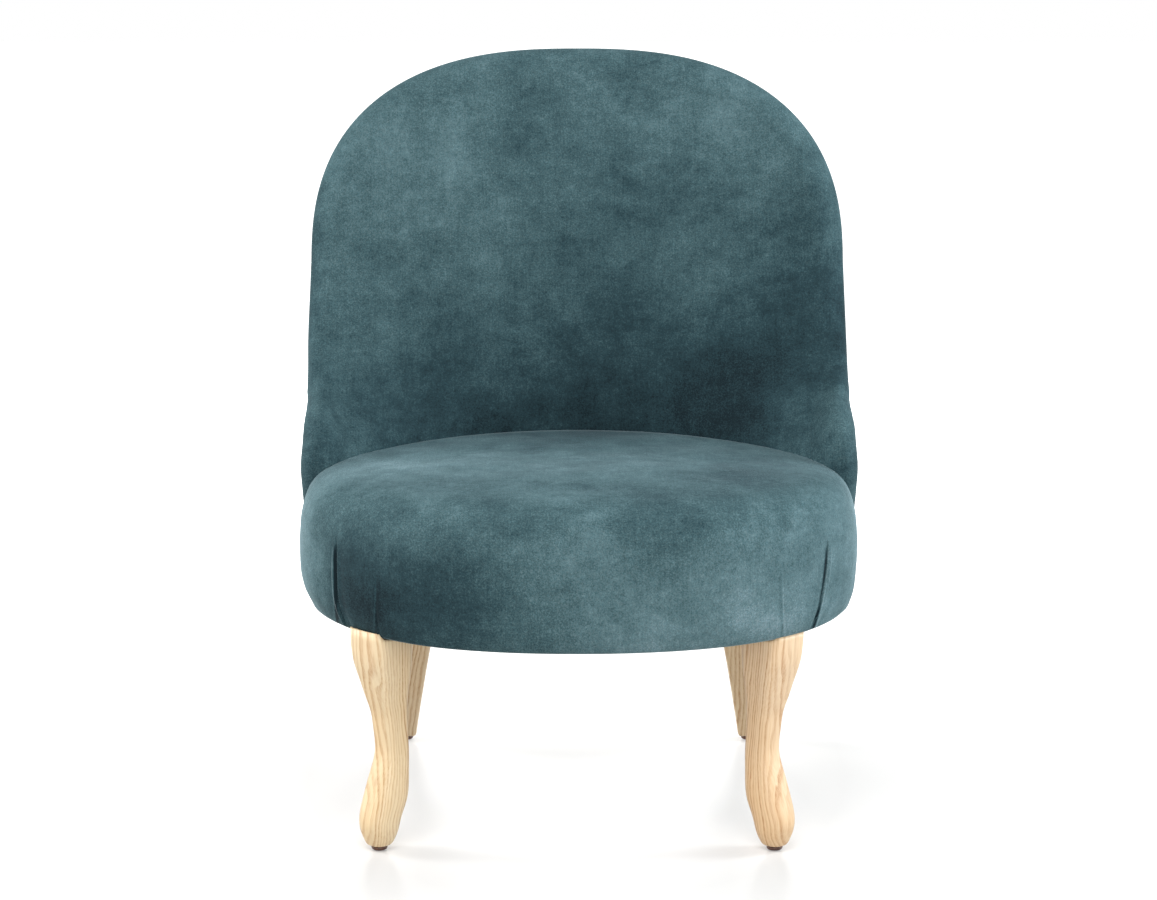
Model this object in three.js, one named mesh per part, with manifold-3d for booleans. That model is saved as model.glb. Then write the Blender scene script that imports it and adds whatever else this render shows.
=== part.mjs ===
// Slipper chair: a low upholstered chair with an arched, softly curved back whose lower
// wings wrap round a domed seat, on two cabriole front legs and two raked back legs.
//
// Millimetres, +Z up, the front of the chair towards -Y. Plan places are measured from the
// line of the front feet (y = 0) while the pieces are made; the whole group is then moved
// so that its origin is the middle of the footprint of its box, on the floor.

import * as THREE from 'three';
import { mergeVertices } from 'three/addons/utils/BufferGeometryUtils.js';
import Module from 'manifold-3d';

const wasm = await Module();
wasm.setup();

// Fits, in millimetres.
const gap = 0.3; // between pieces that rest on each other
const curvedGap = 0.8; // between curved pieces whose facets do not line up
const overrun = 20; // how far a cutting solid reaches past what it cuts

// Seat: a round-fronted cushion over a ring of rails.
const seatHalfWidth = 287;
const seatFrontDepth = 270; // from the widest line forward to the front
const seatWidestY = 175;
const seatSideLength = 30; // straight part of the side, behind the widest line
const seatTuck = 2; // how far the seat, hidden in the back, ends before the back's middle
const seatRoundness = 2.2; // exponent of the front curve: 2 is an ellipse
const seatUnderside = 220.4;
const seatCrownHeight = 371; // highest point of the seat above the floor
const seatCrownY = 150; // where the crown is highest
const seatSideFall = 14; // how much lower the crown is at the sides
const seatFrontFall = 12; // and at the front
const seatDrawnIn = 8; // how far the cover is pulled in at its lower edge
const shoulderInset = 70; // where the rounded shoulder ends and the crown begins
const hemWidth = 26; // cover turned under the rails

// Pleats at the front corners of the seat.
const pleatPlaceShare = 0.861; // of the seat's half width, from its middle line
const pleatDepth = 4;
const pleatHalfWidth = 4.5;
const pleatClearShare = 1.6; // no other outline point within this share of its half width

// Back: a padded sheet bent to an arc in plan, arched at the top.
const wingInset = 29; // from the seat's widest outline to the middle of the back's rim
const backArchFoot = 549; // where the arch springs from the straight sides
const backArchRise = 195;
const archRoundness = 2.6;
const backRearY = 385; // middle of the padding behind the seat
const backBendHeight = 402; // the back leans away above this
const backLean = 0.178; // run over rise
const archGather = 31; // forward bow of the back at the height of the arch
const rimRadius = 32; // radius of the rim, outwards
const paddingFront = 40; // from the middle of the sheet to the inside face
const paddingRear = 30; // and to the outside face
const lumbarCrown = 16; // extra fullness of the inside face
const outsideCrown = 3;
const seamAngle = 130; // degrees round the rim, from the inside face, to the back seam
const insideLift = 9.7; // from the top of the rails to the foot of the inside padding
const crownBias = 0.7; // below 1, the fullest place of the inside face lies below its middle
// Front edge of the back, as it runs from the top of the rails up to the foot of the arch.
// reachShare goes from the tip of the wing, 0, to the foot of the arch, 1.
const wingTipY = 200;
const wingLowerShares = [
  // heightShare goes from insideFoot to backBendHeight
  { heightShare: 0, reachShare: 0.133 },
  { heightShare: 0.3, reachShare: 0.05 },
  { heightShare: 0.527, reachShare: 0 },
  { heightShare: 0.755, reachShare: 0.122 },
  { heightShare: 1, reachShare: 0.4 },
];
const wingUpperShares = [
  // heightShare goes from backBendHeight to backArchFoot
  { heightShare: 0.327, reachShare: 0.688 },
  { heightShare: 0.667, reachShare: 0.866 },
  { heightShare: 1, reachShare: 1 },
];

// Layers.
const coverThickness = 1.6; // velvet with its backing
const waddingThickness = 5;
const clothThickness = 0.7;

// Frame.
const railThickness = 22;
const railHeight = 60;
const railInset = 20; // from the seat's widest outline to the outer face of the rails
const blockLength = 58;
const blockDepth = 44;
const blockHeight = 40;
const stileWidth = 44;
const archBand = 54; // width of the arched top rail
const archSeat = 30; // height of the joint between stile and arch rail above the arch foot
const archSpread = 0.94; // how closely the arch rail's divisions crowd at its ends
const stayRailFoot = 302;
const stayRailHeight = 42;
const uprightWidth = 30;
const uprightPlaceShare = 0.357; // of the back's half width, from its middle line
const frameEdge = 7; // from the rim's middle line to the frame
const panelThickness = 2;
const shellGap = 2.4; // from the frame and its webbing to the curved sheets round them
const frameRowStep = 24; // most height between two rows of a piece of the back's frame

// Webbing.
const webWidth = 50;
const webThickness = 1.2;
const webOverlap = 17; // on the rail
const seatWebPitchShare = 0.293; // of the seat's half width
const seatWebHalfCount = 2; // straps each side of the middle one
const crossWebCount = 3; // in front of the stiles
const crossWebFirstY = 44;
const crossWebPitch = 63;
const crossWebRearY = 304; // the one behind them
const backWebCount = 4;
const backWebFirstHeight = 412;
const backWebPitch = 66;
const backUprightWebShare = 0.58; // of the back's half width, between two of them

// Legs.
const frontFootInset = 89.5; // from the seat's widest outline
const frontKneeInset = 93.3;
const kneeHalf = 30.8; // half of the square section's diagonal at the knee
const ankleSet = 13; // how far the ankle is set in, to the side and to the back
const rearFootInset = 93;
const rearFootY = 412;
const rearKneeInset = 120;
const rearKneeHalf = 23;
const rearFootHalf = 11.5;
const rearLegSwell = 1.3;
const rearSquareness = 7;
const legCorners = 16;
// The front leg from the foot up. halfShare is the section's half diagonal, bendShare how
// much of the ankle's set it has, and squareness the exponent of its outline.
const cabrioleShares = [
  { heightShare: 0, halfShare: 0.4, bendShare: 0, squareness: 2.4 },
  { heightShare: 0.055, halfShare: 0.58, bendShare: 0, squareness: 2.5 },
  { heightShare: 0.126, halfShare: 0.68, bendShare: 0.04, squareness: 2.7 },
  { heightShare: 0.21, halfShare: 0.72, bendShare: 0.36, squareness: 3 },
  { heightShare: 0.327, halfShare: 0.643, bendShare: 0.66, squareness: 3.4 },
  { heightShare: 0.43, halfShare: 0.555, bendShare: 0.84, squareness: 3.8 },
  { heightShare: 0.547, halfShare: 0.56, bendShare: 0.72, squareness: 4.5 },
  { heightShare: 0.63, halfShare: 0.6, bendShare: 0.6, squareness: 5 },
  { heightShare: 0.692, halfShare: 0.68, bendShare: 0.45, squareness: 5.5 },
  { heightShare: 0.78, halfShare: 0.81, bendShare: 0.29, squareness: 6 },
  { heightShare: 0.864, halfShare: 0.93, bendShare: 0.13, squareness: 6 },
  { heightShare: 1, halfShare: 1, bendShare: 0, squareness: 6 },
];
const rearLegShares = [0, 0.15, 0.32, 0.5, 0.72, 1];
const dustCoverMargin = 6; // beyond the rails
const glideRadius = 8;
const glideHeight = 5;
const glideEdge = 1.2;
const glideDome = 2.2;
const nailRadius = 1.6;
const nailLength = 16;
const boltRadius = 4;
const boltInLeg = 30;
const boltProud = 7; // above the corner block
const nutRadius = 10;
const nutHeight = 4.5;
const holeClearance = 0.4;
const roundSides = 12; // facets of a round piece

const velvet = { color: 0x4a6f78, roughness: 0.85, metalness: 0 };
const ash = { color: 0xdcc195, roughness: 0.55, metalness: 0 };
const beech = { color: 0xc9a77c, roughness: 0.7, metalness: 0 };
const foam = { color: 0xe9e3c8, roughness: 0.95, metalness: 0 };
const wadding = { color: 0xf2f2ee, roughness: 1, metalness: 0 };
const jute = { color: 0xb59a6b, roughness: 0.95, metalness: 0 };
const cambric = { color: 0x26282a, roughness: 0.95, metalness: 0 };
const board = { color: 0x8b8378, roughness: 0.9, metalness: 0 };
const nylon = { color: 0x6b4a33, roughness: 0.5, metalness: 0 };
const steel = { color: 0x9a9da0, roughness: 0.4, metalness: 0.9 };

const radians = THREE.MathUtils.degToRad;
const lerp = THREE.MathUtils.lerp;
const clamp = THREE.MathUtils.clamp;

// Places that follow from the sizes above.

const backHalfWidth = seatHalfWidth - wingInset; // to the middle of the rounded rim
const seatRearDepth = backRearY - seatWidestY - seatSideLength - seatTuck;
const frontFootX = seatHalfWidth - frontFootInset;
const rearFootX = seatHalfWidth - rearFootInset;

const railHalf = railThickness / 2;
const railMiddleInset = railInset + railHalf;
const frameShift = seatHalfWidth - railMiddleInset - backHalfWidth; // outwards
const frameFront = frameShift - railHalf;
const frameRear = frameShift + railHalf;

const railFoot = seatUnderside + coverThickness + gap;
const railTop = railFoot + railHeight;
const seatWebFoot = railTop + gap;
const crossWebFoot = seatWebFoot + webThickness + gap;
const hessianFoot = crossWebFoot + webThickness + gap;
const foamFoot = hessianFoot + clothThickness + gap;
const dustCoverFoot = seatUnderside - gap - clothThickness;
const legTop = dustCoverFoot - gap;
const blockTop = railFoot + blockHeight;
const insideFoot = railTop + insideLift;

const waddingDepth = coverThickness + gap;
const foamDepth = waddingDepth + waddingThickness + curvedGap;

// Geometry helpers.

function geometryOf(points, faces) {
  const index = [];
  for (const face of faces) {
    for (let k = 2; k < face.length; k += 1) {
      index.push(face[0], face[k - 1], face[k]);
    }
  }
  const geometry = new THREE.BufferGeometry();
  geometry.setFromPoints(points);
  geometry.setIndex(index);
  return geometry;
}

// A face seen from its other side. It keeps its first corner, so that it is split into
// triangles along the same line.
function turnedOver(face) {
  return [face[0], ...face.slice(1).reverse()];
}

// The solid between two sheets of points that share one list of faces. The faces turn
// outwards on the first sheet. Every free edge gets a wall.
function solidBetween(outer, inner, faces) {
  const count = outer.length;
  const free = new Map();
  for (const face of faces) {
    face.forEach((a, k) => {
      const b = face[(k + 1) % face.length];
      if (!free.delete(`${b} ${a}`)) {
        free.set(`${a} ${b}`, [a, b]);
      }
    });
  }
  const all = [...faces];
  for (const face of faces) {
    all.push(turnedOver(face).map((v) => v + count));
  }
  for (const [a, b] of free.values()) {
    all.push([b, a, a + count, b + count]);
  }
  return geometryOf([...outer, ...inner], all);
}

function gridFaces(rows, columns) {
  const faces = [];
  const width = columns + 1;
  for (let i = 0; i < rows; i += 1) {
    for (let j = 0; j < columns; j += 1) {
      const a = i * width + j;
      faces.push([a, a + 1, a + 1 + width, a + width]);
    }
  }
  return faces;
}

function asManifold(geometry) {
  const bare = geometry.clone();
  bare.deleteAttribute('normal');
  bare.deleteAttribute('uv');
  const merged = mergeVertices(bare);
  return new wasm.Manifold(new wasm.Mesh({
    numProp: 3,
    vertProperties: new Float32Array(merged.attributes.position.array),
    triVerts: new Uint32Array(merged.index.array),
  }));
}

function asGeometry(body) {
  const mesh = body.getMesh();
  const result = new THREE.BufferGeometry();
  result.setAttribute('position', new THREE.BufferAttribute(mesh.vertProperties, mesh.numProp));
  result.setIndex(new THREE.BufferAttribute(mesh.triVerts, 1));
  return result;
}

function cut(geometry, cutters) {
  let body = asManifold(geometry);
  for (const cutter of cutters) {
    body = body.subtract(asManifold(cutter));
  }
  return asGeometry(body);
}

function trimmedTo(geometry, keeper) {
  return asGeometry(asManifold(geometry).intersect(asManifold(keeper)));
}

function upright(radius, foot, height, x, y) {
  const rod = new THREE.CylinderGeometry(radius, radius, height, roundSides);
  rod.rotateX(Math.PI / 2);
  rod.translate(x, y, foot + height / 2);
  return rod;
}

function turned(profile, x, y) {
  const points = profile.map(([r, z]) => new THREE.Vector2(r, z));
  const body = new THREE.LatheGeometry(points, roundSides);
  body.rotateX(Math.PI / 2);
  body.translate(x, y, 0);
  return body;
}

const chair = new THREE.Group();

function add(name, geometry, look) {
  const bare = geometry.clone();
  bare.deleteAttribute('normal');
  bare.deleteAttribute('uv');
  const merged = mergeVertices(bare);
  merged.computeVertexNormals();
  const mesh = new THREE.Mesh(merged, new THREE.MeshStandardMaterial(look));
  mesh.name = name;
  chair.add(mesh);
}

const sides = [
  { name: 'left', sign: -1 },
  { name: 'right', sign: 1 },
];

// Seat outline, counterclockwise from above, starting at the middle of the front. Each
// point has the outward direction in plan, so that an inset outline runs parallel.

function frontCurvePoint(turn) {
  const s = Math.sin(turn) ** (2 / seatRoundness);
  const c = Math.max(Math.cos(turn), 0) ** (2 / seatRoundness);
  const n = new THREE.Vector2(
    s ** (seatRoundness - 1) / seatHalfWidth,
    -(c ** (seatRoundness - 1)) / seatFrontDepth,
  ).normalize();
  return {
    p: new THREE.Vector2(seatHalfWidth * s, seatWidestY - seatFrontDepth * c),
    n,
  };
}

function rearCurvePoint(turn) {
  const s = Math.sin(turn);
  const c = Math.max(Math.cos(turn), 0);
  return {
    p: new THREE.Vector2(seatHalfWidth * s, seatWidestY + seatSideLength + seatRearDepth * c),
    n: new THREE.Vector2(s / seatHalfWidth, c / seatRearDepth).normalize(),
  };
}

const quarter = Math.PI / 2;
const frontSteps = 9;
const rearSteps = 4;
const pleatTurn = Math.asin(pleatPlaceShare ** (seatRoundness / 2));
const pleatSpread = pleatHalfWidth / Math.hypot(
  seatHalfWidth * Math.cos(pleatTurn),
  seatFrontDepth * Math.sin(pleatTurn),
);

function seatHalfOutline() {
  const turns = [];
  for (let k = 0; k <= frontSteps; k += 1) {
    const turn = (k / frontSteps) * quarter;
    if (Math.abs(turn - pleatTurn) > pleatClearShare * pleatSpread) {
      turns.push({ turn, pleat: 0 });
    }
  }
  turns.push(
    { turn: pleatTurn - pleatSpread, pleat: 0 },
    { turn: pleatTurn, pleat: 1 },
    { turn: pleatTurn + pleatSpread, pleat: 0 },
  );
  turns.sort((a, b) => a.turn - b.turn);
  const half = turns.map(({ turn, pleat }) => ({ ...frontCurvePoint(turn), pleat }));
  for (let k = 0; k <= rearSteps; k += 1) {
    half.push({ ...rearCurvePoint(quarter * (1 - k / rearSteps)), pleat: 0 });
  }
  return half;
}

function mirrored({ p, n, pleat }) {
  return {
    p: new THREE.Vector2(-p.x, p.y),
    n: new THREE.Vector2(-n.x, n.y),
    pleat,
  };
}

const halfOutline = seatHalfOutline();
const seatOutline = [
  ...halfOutline,
  ...halfOutline.slice(1, -1).reverse().map(mirrored),
];

function insetPoint({ p, n }, inset) {
  return p.clone().addScaledVector(n, -inset);
}

function crownHeight(x, y) {
  const side = (x / seatHalfWidth) ** 2;
  const front = Math.max(seatCrownY - y, 0) / (seatCrownY - seatWidestY + seatFrontDepth);
  return seatCrownHeight - seatSideFall * side - seatFrontFall * front ** 2;
}

// The side and shoulder of the cushion, from its drawn-in lower edge up. Each ring lies
// inside the widest outline by its shares of seatDrawnIn and shoulderInset, heightShare is of
// the cushion's height, and pleatShare is how much of the pleat it carries.
const shoulderShares = [
  { drawnInShare: 1, insetShare: 0, heightShare: 0, pleatShare: 1 },
  { drawnInShare: 0.2, insetShare: 0, heightShare: 0.16, pleatShare: 1 },
  { drawnInShare: 0, insetShare: 0, heightShare: 0.42, pleatShare: 0.9 },
  { drawnInShare: 0, insetShare: 0.02, heightShare: 0.62, pleatShare: 0.35 },
  { drawnInShare: 0, insetShare: 0.11, heightShare: 0.8, pleatShare: 0 },
  { drawnInShare: 0, insetShare: 0.32, heightShare: 0.925, pleatShare: 0 },
  { drawnInShare: 0, insetShare: 0.64, heightShare: 0.98, pleatShare: 0 },
  { drawnInShare: 0, insetShare: 1, heightShare: 1, pleatShare: 0 },
];
const crownShares = [0.36, 0.72];
const crownMiddle = new THREE.Vector2(0, seatCrownY);

// One layer of the seat, a given depth below the outside of the cover. Rings run from the
// lower edge to the middle of the crown.
function seatLayer(depth, { hem = false, foot = seatUnderside } = {}) {
  const points = [];
  const loop = seatOutline.length;
  const profile = seatOutline.map((station) => {
    const top = insetPoint(station, shoulderInset);
    const rise = crownHeight(top.x, top.y) - seatUnderside;
    return shoulderShares.map(({ drawnInShare, insetShare, heightShare, pleatShare }) => {
      const inset = drawnInShare * seatDrawnIn + insetShare * shoulderInset;
      return new THREE.Vector2(
        -inset - station.pleat * pleatShare * pleatDepth,
        seatUnderside + heightShare * rise,
      );
    });
  });
  const below = new THREE.Vector2(0, -1);
  if (hem) {
    for (const station of seatOutline) {
      const at = insetPoint(station, seatDrawnIn + hemWidth);
      points.push(new THREE.Vector3(at.x, at.y, seatUnderside + depth));
    }
  }
  shoulderShares.forEach((row, i) => {
    seatOutline.forEach((station, j) => {
      const here = profile[j][i];
      const before = i > 0 ? profile[j][i - 1] : here.clone().add(below);
      const after = i + 1 < shoulderShares.length ? profile[j][i + 1] : here;
      const along = after.clone().sub(before).normalize();
      const out = here.x - depth * along.y;
      const z = i > 0 ? here.y + depth * along.x : here.y + (hem ? depth : 0);
      const at = insetPoint(station, -out);
      points.push(new THREE.Vector3(at.x, at.y, Math.max(z, foot)));
    });
  });
  for (const share of crownShares) {
    for (const station of seatOutline) {
      const at = insetPoint(station, shoulderInset).lerp(crownMiddle, share);
      points.push(new THREE.Vector3(at.x, at.y, crownHeight(at.x, at.y) - depth));
    }
  }
  const middleHeight = crownHeight(crownMiddle.x, crownMiddle.y) - depth;
  points.push(new THREE.Vector3(crownMiddle.x, crownMiddle.y, middleHeight));
  const rings = (points.length - 1) / loop;
  const faces = [];
  for (let i = 0; i + 1 < rings; i += 1) {
    for (let j = 0; j < loop; j += 1) {
      const next = (j + 1) % loop;
      faces.push([i * loop + j, i * loop + next, (i + 1) * loop + next, (i + 1) * loop + j]);
    }
  }
  for (let j = 0; j < loop; j += 1) {
    faces.push([(rings - 1) * loop + j, (rings - 1) * loop + ((j + 1) % loop), points.length - 1]);
  }
  return { points, faces };
}

// The back's sheet. At each height it is an arc in plan, from the front edge of one wing
// round behind the seat to the other.

function backRear(z) {
  return backRearY + backLean * Math.max(z - backBendHeight, 0);
}

const archFootY = backRear(backArchFoot) - archGather;

function wingPoint(low, high) {
  return ({ heightShare, reachShare }) => ({
    z: lerp(low, high, heightShare),
    y: lerp(wingTipY, archFootY, reachShare),
  });
}

const wingAbove = [
  ...wingLowerShares.map(wingPoint(insideFoot, backBendHeight)),
  ...wingUpperShares.map(wingPoint(backBendHeight, backArchFoot)),
];
const wingEdge = [{ z: seatUnderside, y: wingAbove[0].y }, ...wingAbove];
const levelTop = wingEdge[wingLowerShares.length + 1].z; // rows are level up to here
const strapTop = wingEdge[wingEdge.length - 2].z; // and those of the frame up to here

function wingEdgeY(z) {
  const first = wingEdge[0];
  const last = wingEdge[wingEdge.length - 1];
  if (z <= first.z) {
    return first.y;
  }
  if (z >= last.z) {
    return backRear(z) - archGather;
  }
  const k = wingEdge.findIndex((point) => point.z > z);
  const a = wingEdge[k - 1];
  const b = wingEdge[k];
  return lerp(a.y, b.y, (z - a.z) / (b.z - a.z));
}

function backArc(z) {
  const bow = Math.max(backRear(z) - wingEdgeY(z), archGather);
  const radius = (backHalfWidth ** 2 + bow ** 2) / (2 * bow);
  return { radius, turn: Math.asin(backHalfWidth / radius), middle: backRear(z) - radius };
}

function archHeight(share) {
  const { radius, turn } = backArc(backArchFoot + backArchRise);
  const across = clamp(Math.abs(radius * Math.sin(share * turn)) / backHalfWidth, 0, 1);
  return backArchFoot + backArchRise * (1 - across ** archRoundness) ** (1 / archRoundness);
}

// A point of the back: share runs from -1 at the left wing's edge to 1 at the right one's,
// and depth is measured outwards from the middle of the padding.
function backPoint(share, z, depth) {
  const { radius, turn, middle } = backArc(z);
  const angle = share * turn;
  return new THREE.Vector3(
    (radius + depth) * Math.sin(angle),
    middle + (radius + depth) * Math.cos(angle),
    z,
  );
}

function backOutward(share, z) {
  const angle = share * backArc(z).turn;
  return new THREE.Vector3(Math.sin(angle), Math.cos(angle), 0);
}

function shareAt(z, fromMiddle) {
  const { radius, turn } = backArc(z);
  return fromMiddle / (radius * turn);
}

function shareFromEdge(z, fromEdge) {
  return 1 - shareAt(z, fromEdge);
}

const backColumns = 16;
const upperRows = 4;

function columnShare(j) {
  return Math.sin(((2 * j) / backColumns - 1) * quarter);
}

// Heights of the rows of one column: the wing edge's own heights, then even steps up to the
// arch.
function rowHeights(share, foot) {
  const lower = wingEdge.map((point) => point.z).filter((z) => z > foot && z <= levelTop);
  const heights = [foot, ...lower];
  const last = heights[heights.length - 1];
  for (let k = 1; k <= upperRows; k += 1) {
    heights.push(lerp(last, archHeight(share), k / upperRows));
  }
  return heights;
}

function fullness(share, z, side) {
  const w = clamp((z - insideFoot) / (archHeight(share) - insideFoot), 0, 1);
  const crown = side < 0 ? lumbarCrown : outsideCrown;
  return crown * (1 - share ** 2) * Math.sin(Math.PI * w ** crownBias);
}

// A sheet over one face of the back and round part of its rim. side is -1 for the inside
// face and 1 for the outside one. faceAt gives how far the sheet lies outwards from the
// middle of the padding. Each place of the rim has the same, and how far it lies beyond the
// rim's middle line.
function backSheet({ side, foot, faceAt, rim = [] }) {
  const rows = rowHeights(0, foot).length - 1;
  const points = [];
  for (let i = 0; i <= rows; i += 1) {
    for (let j = 0; j <= backColumns; j += 1) {
      const share = columnShare(j);
      const z = rowHeights(share, foot)[i];
      points.push(backPoint(share, z, faceAt(share, z)));
    }
  }
  const edge = [];
  for (let i = 0; i <= rows; i += 1) {
    edge.push({ i, j: 0 });
  }
  for (let j = 1; j <= backColumns; j += 1) {
    edge.push({ i: rows, j });
  }
  for (let i = rows - 1; i >= 0; i -= 1) {
    edge.push({ i, j: backColumns });
  }
  const middleLine = edge.map(({ i, j }) => {
    const share = columnShare(j);
    return backPoint(share, rowHeights(share, foot)[i], 0);
  });
  const directions = edge.map(({ i, j }, k) => {
    const z = middleLine[k].z;
    const out = backOutward(columnShare(j), z);
    const before = middleLine[Math.max(k - 1, 0)];
    const after = middleLine[Math.min(k + 1, edge.length - 1)];
    const along = after.clone().sub(before);
    if (z <= insideFoot) {
      along.set(0, 0, Math.sign(along.z));
    }
    return { out, over: along.cross(out).normalize() };
  });
  for (const { outwards, beyond } of rim) {
    edge.forEach((place, k) => {
      const { out, over } = directions[k];
      const at = middleLine[k].clone();
      points.push(at.addScaledVector(out, outwards).addScaledVector(over, beyond));
    });
  }
  const faces = gridFaces(rows, backColumns);
  const count = (rows + 1) * (backColumns + 1);
  const rimVertex = (r, k) => (r === 0
    ? edge[k].i * (backColumns + 1) + edge[k].j
    : count + (r - 1) * edge.length + k);
  for (let r = 0; r < rim.length; r += 1) {
    for (let k = 0; k + 1 < edge.length; k += 1) {
      const near = [rimVertex(r, k), rimVertex(r, k + 1)];
      const far = [rimVertex(r + 1, k + 1), rimVertex(r + 1, k)];
      // The two sides of the back come round the rim to meet, split along the same lines.
      faces.push(side < 0 ? [...near, ...far] : [near[1], ...far, near[0]]);
    }
  }
  return { points, faces: side < 0 ? faces : faces.map(turnedOver) };
}

// A sheet that lies a given depth below the outside of the upholstery and turns round the
// rim through the given angles, in degrees from its own face.
function upholsterySheet(side, depth, { foot, angles = [] }) {
  const own = side < 0 ? paddingFront : paddingRear;
  const other = side < 0 ? paddingRear : paddingFront;
  return backSheet({
    side,
    foot,
    faceAt: (share, z) => side * (own + fullness(share, z, side) - depth),
    rim: angles.map((degrees) => {
      const angle = radians(degrees);
      const reach = angle < quarter ? own : other;
      return {
        outwards: side * (reach - depth) * Math.cos(angle),
        beyond: (rimRadius - depth) * Math.sin(angle),
      };
    }),
  });
}

function flatSheet(side, level, foot) {
  return backSheet({ side, foot, faceAt: () => level });
}

function layerBetween(near, far) {
  return solidBetween(near.points, far.points, near.faces);
}

// Rail ring: stations along the middle of the rails, counterclockwise from the middle of
// the front, with the running length.
const railSteps = 8;

function railRing() {
  const half = [];
  for (let k = 0; k <= railSteps; k += 1) {
    const station = frontCurvePoint((k / railSteps) * quarter);
    half.push({ p: insetPoint(station, railMiddleInset), n: station.n });
  }
  for (let j = backColumns; j >= backColumns / 2; j -= 1) {
    const at = backPoint(columnShare(j), railFoot, frameShift);
    const out = backOutward(columnShare(j), railFoot);
    half.push({ p: new THREE.Vector2(at.x, at.y), n: new THREE.Vector2(out.x, out.y) });
  }
  const loop = [...half, ...half.slice(1, -1).reverse().map(mirrored)];
  let run = 0;
  loop.forEach((station, k) => {
    run += k > 0 ? station.p.distanceTo(loop[k - 1].p) : 0;
    station.run = run;
  });
  const length = run + loop[0].p.distanceTo(loop[loop.length - 1].p);
  return { loop, length, halfCount: half.length };
}

const ring = railRing();

function ringStation(run) {
  const wrapped = ((run % ring.length) + ring.length) % ring.length;
  let k = ring.loop.findIndex((station) => station.run > wrapped);
  k = k < 0 ? ring.loop.length : k;
  const a = ring.loop[k - 1];
  const b = ring.loop[k % ring.loop.length];
  const end = k < ring.loop.length ? b.run : ring.length;
  const t = (wrapped - a.run) / (end - a.run);
  return { p: a.p.clone().lerp(b.p, t), n: a.n.clone().lerp(b.n, t).normalize() };
}

function ringRunAt(x, rear) {
  const half = ring.loop.slice(0, ring.halfCount);
  for (let k = 1; k < half.length; k += 1) {
    const a = half[k - 1];
    const b = half[k];
    const behind = k > railSteps + 1;
    if (behind === rear && (a.p.x - x) * (b.p.x - x) <= 0) {
      return lerp(a.run, b.run, (x - a.p.x) / (b.p.x - a.p.x));
    }
  }
  throw new Error('no place on the rails');
}

// A stretch of the ring between two running lengths, between two offsets from its middle.
function ringPiece(from, to, inner, outer, foot, top) {
  const runs = [from];
  for (const turn of [-1, 0, 1]) {
    for (const station of ring.loop) {
      const run = station.run + turn * ring.length;
      if (run > from && run < to) {
        runs.push(run);
      }
    }
  }
  runs.sort((a, b) => a - b);
  runs.push(to);
  const sheet = (offset) => [foot, top].flatMap((z) => runs.map((run) => {
    const { p, n } = ringStation(run);
    return new THREE.Vector3(p.x + n.x * offset, p.y + n.y * offset, z);
  }));
  return solidBetween(sheet(outer), sheet(inner), gridFaces(1, runs.length - 1));
}

// A flat sheet of cloth bounded by the ring, moved outwards by a given offset.
function ringCloth(offset, foot, thickness) {
  const rim = ring.loop.map(({ p, n }) => p.clone().addScaledVector(n, offset));
  const sheet = (z) => [
    ...rim.map((p) => new THREE.Vector3(p.x, p.y, z)),
    new THREE.Vector3(crownMiddle.x, crownMiddle.y, z),
  ];
  const faces = rim.map((p, k) => [k, (k + 1) % rim.length, rim.length]);
  return solidBetween(sheet(foot + thickness), sheet(foot), faces);
}

// Legs.

const frontLegRun = ringRunAt(seatHalfWidth - frontKneeInset, false);
const rearLegRun = ringRunAt(seatHalfWidth - rearKneeInset, true);
const frontKnee = ringStation(frontLegRun).p;
const rearKnee = ringStation(rearLegRun).p;

// A section of a leg: a square with rounded corners and sides, half its width or, where it is
// turned to stand on a corner, half its diagonal given.
function legSection(x, y, z, half, squareness, turned45) {
  const radius = turned45 ? half / 2 ** (0.5 - 1 / squareness) : half;
  const points = [];
  for (let k = 0; k < legCorners; k += 1) {
    const angle = (k / legCorners) * 2 * Math.PI;
    const c = Math.cos(angle);
    const s = Math.sin(angle);
    const u = radius * Math.sign(c) * Math.abs(c) ** (2 / squareness);
    const v = radius * Math.sign(s) * Math.abs(s) ** (2 / squareness);
    const across = turned45 ? (u - v) * Math.SQRT1_2 : u;
    const back = turned45 ? (u + v) * Math.SQRT1_2 : v;
    points.push(new THREE.Vector3(x + across, y + back, z));
  }
  return points;
}

function loft(sections) {
  const loop = sections[0].length;
  const points = sections.flat();
  const faces = [];
  for (let i = 0; i + 1 < sections.length; i += 1) {
    for (let j = 0; j < loop; j += 1) {
      const next = (j + 1) % loop;
      faces.push([i * loop + j, i * loop + next, (i + 1) * loop + next, (i + 1) * loop + j]);
    }
  }
  const last = (sections.length - 1) * loop;
  faces.push(Array.from({ length: loop }, (_, j) => loop - 1 - j));
  faces.push(Array.from({ length: loop }, (_, j) => last + j));
  return geometryOf(points, faces);
}

const legFoot = glideHeight + gap;

function frontLeg(sign) {
  return loft(cabrioleShares.map(({ heightShare, halfShare, bendShare, squareness }) => {
    const x = lerp(frontFootX, frontKnee.x, heightShare) - ankleSet * bendShare;
    const y = lerp(0, frontKnee.y, heightShare) + ankleSet * bendShare;
    const z = lerp(legFoot, legTop, heightShare);
    return legSection(sign * x, y, z, kneeHalf * halfShare, squareness, true);
  }));
}

function rearLeg(sign) {
  return loft(rearLegShares.map((heightShare) => {
    const x = lerp(rearFootX, rearKnee.x, heightShare);
    const y = lerp(rearFootY, rearKnee.y, heightShare);
    const z = lerp(legFoot, legTop, heightShare);
    const half = lerp(rearFootHalf, rearKneeHalf, heightShare ** rearLegSwell);
    return legSection(sign * x, y, z, half, rearSquareness, false);
  }));
}

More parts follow.
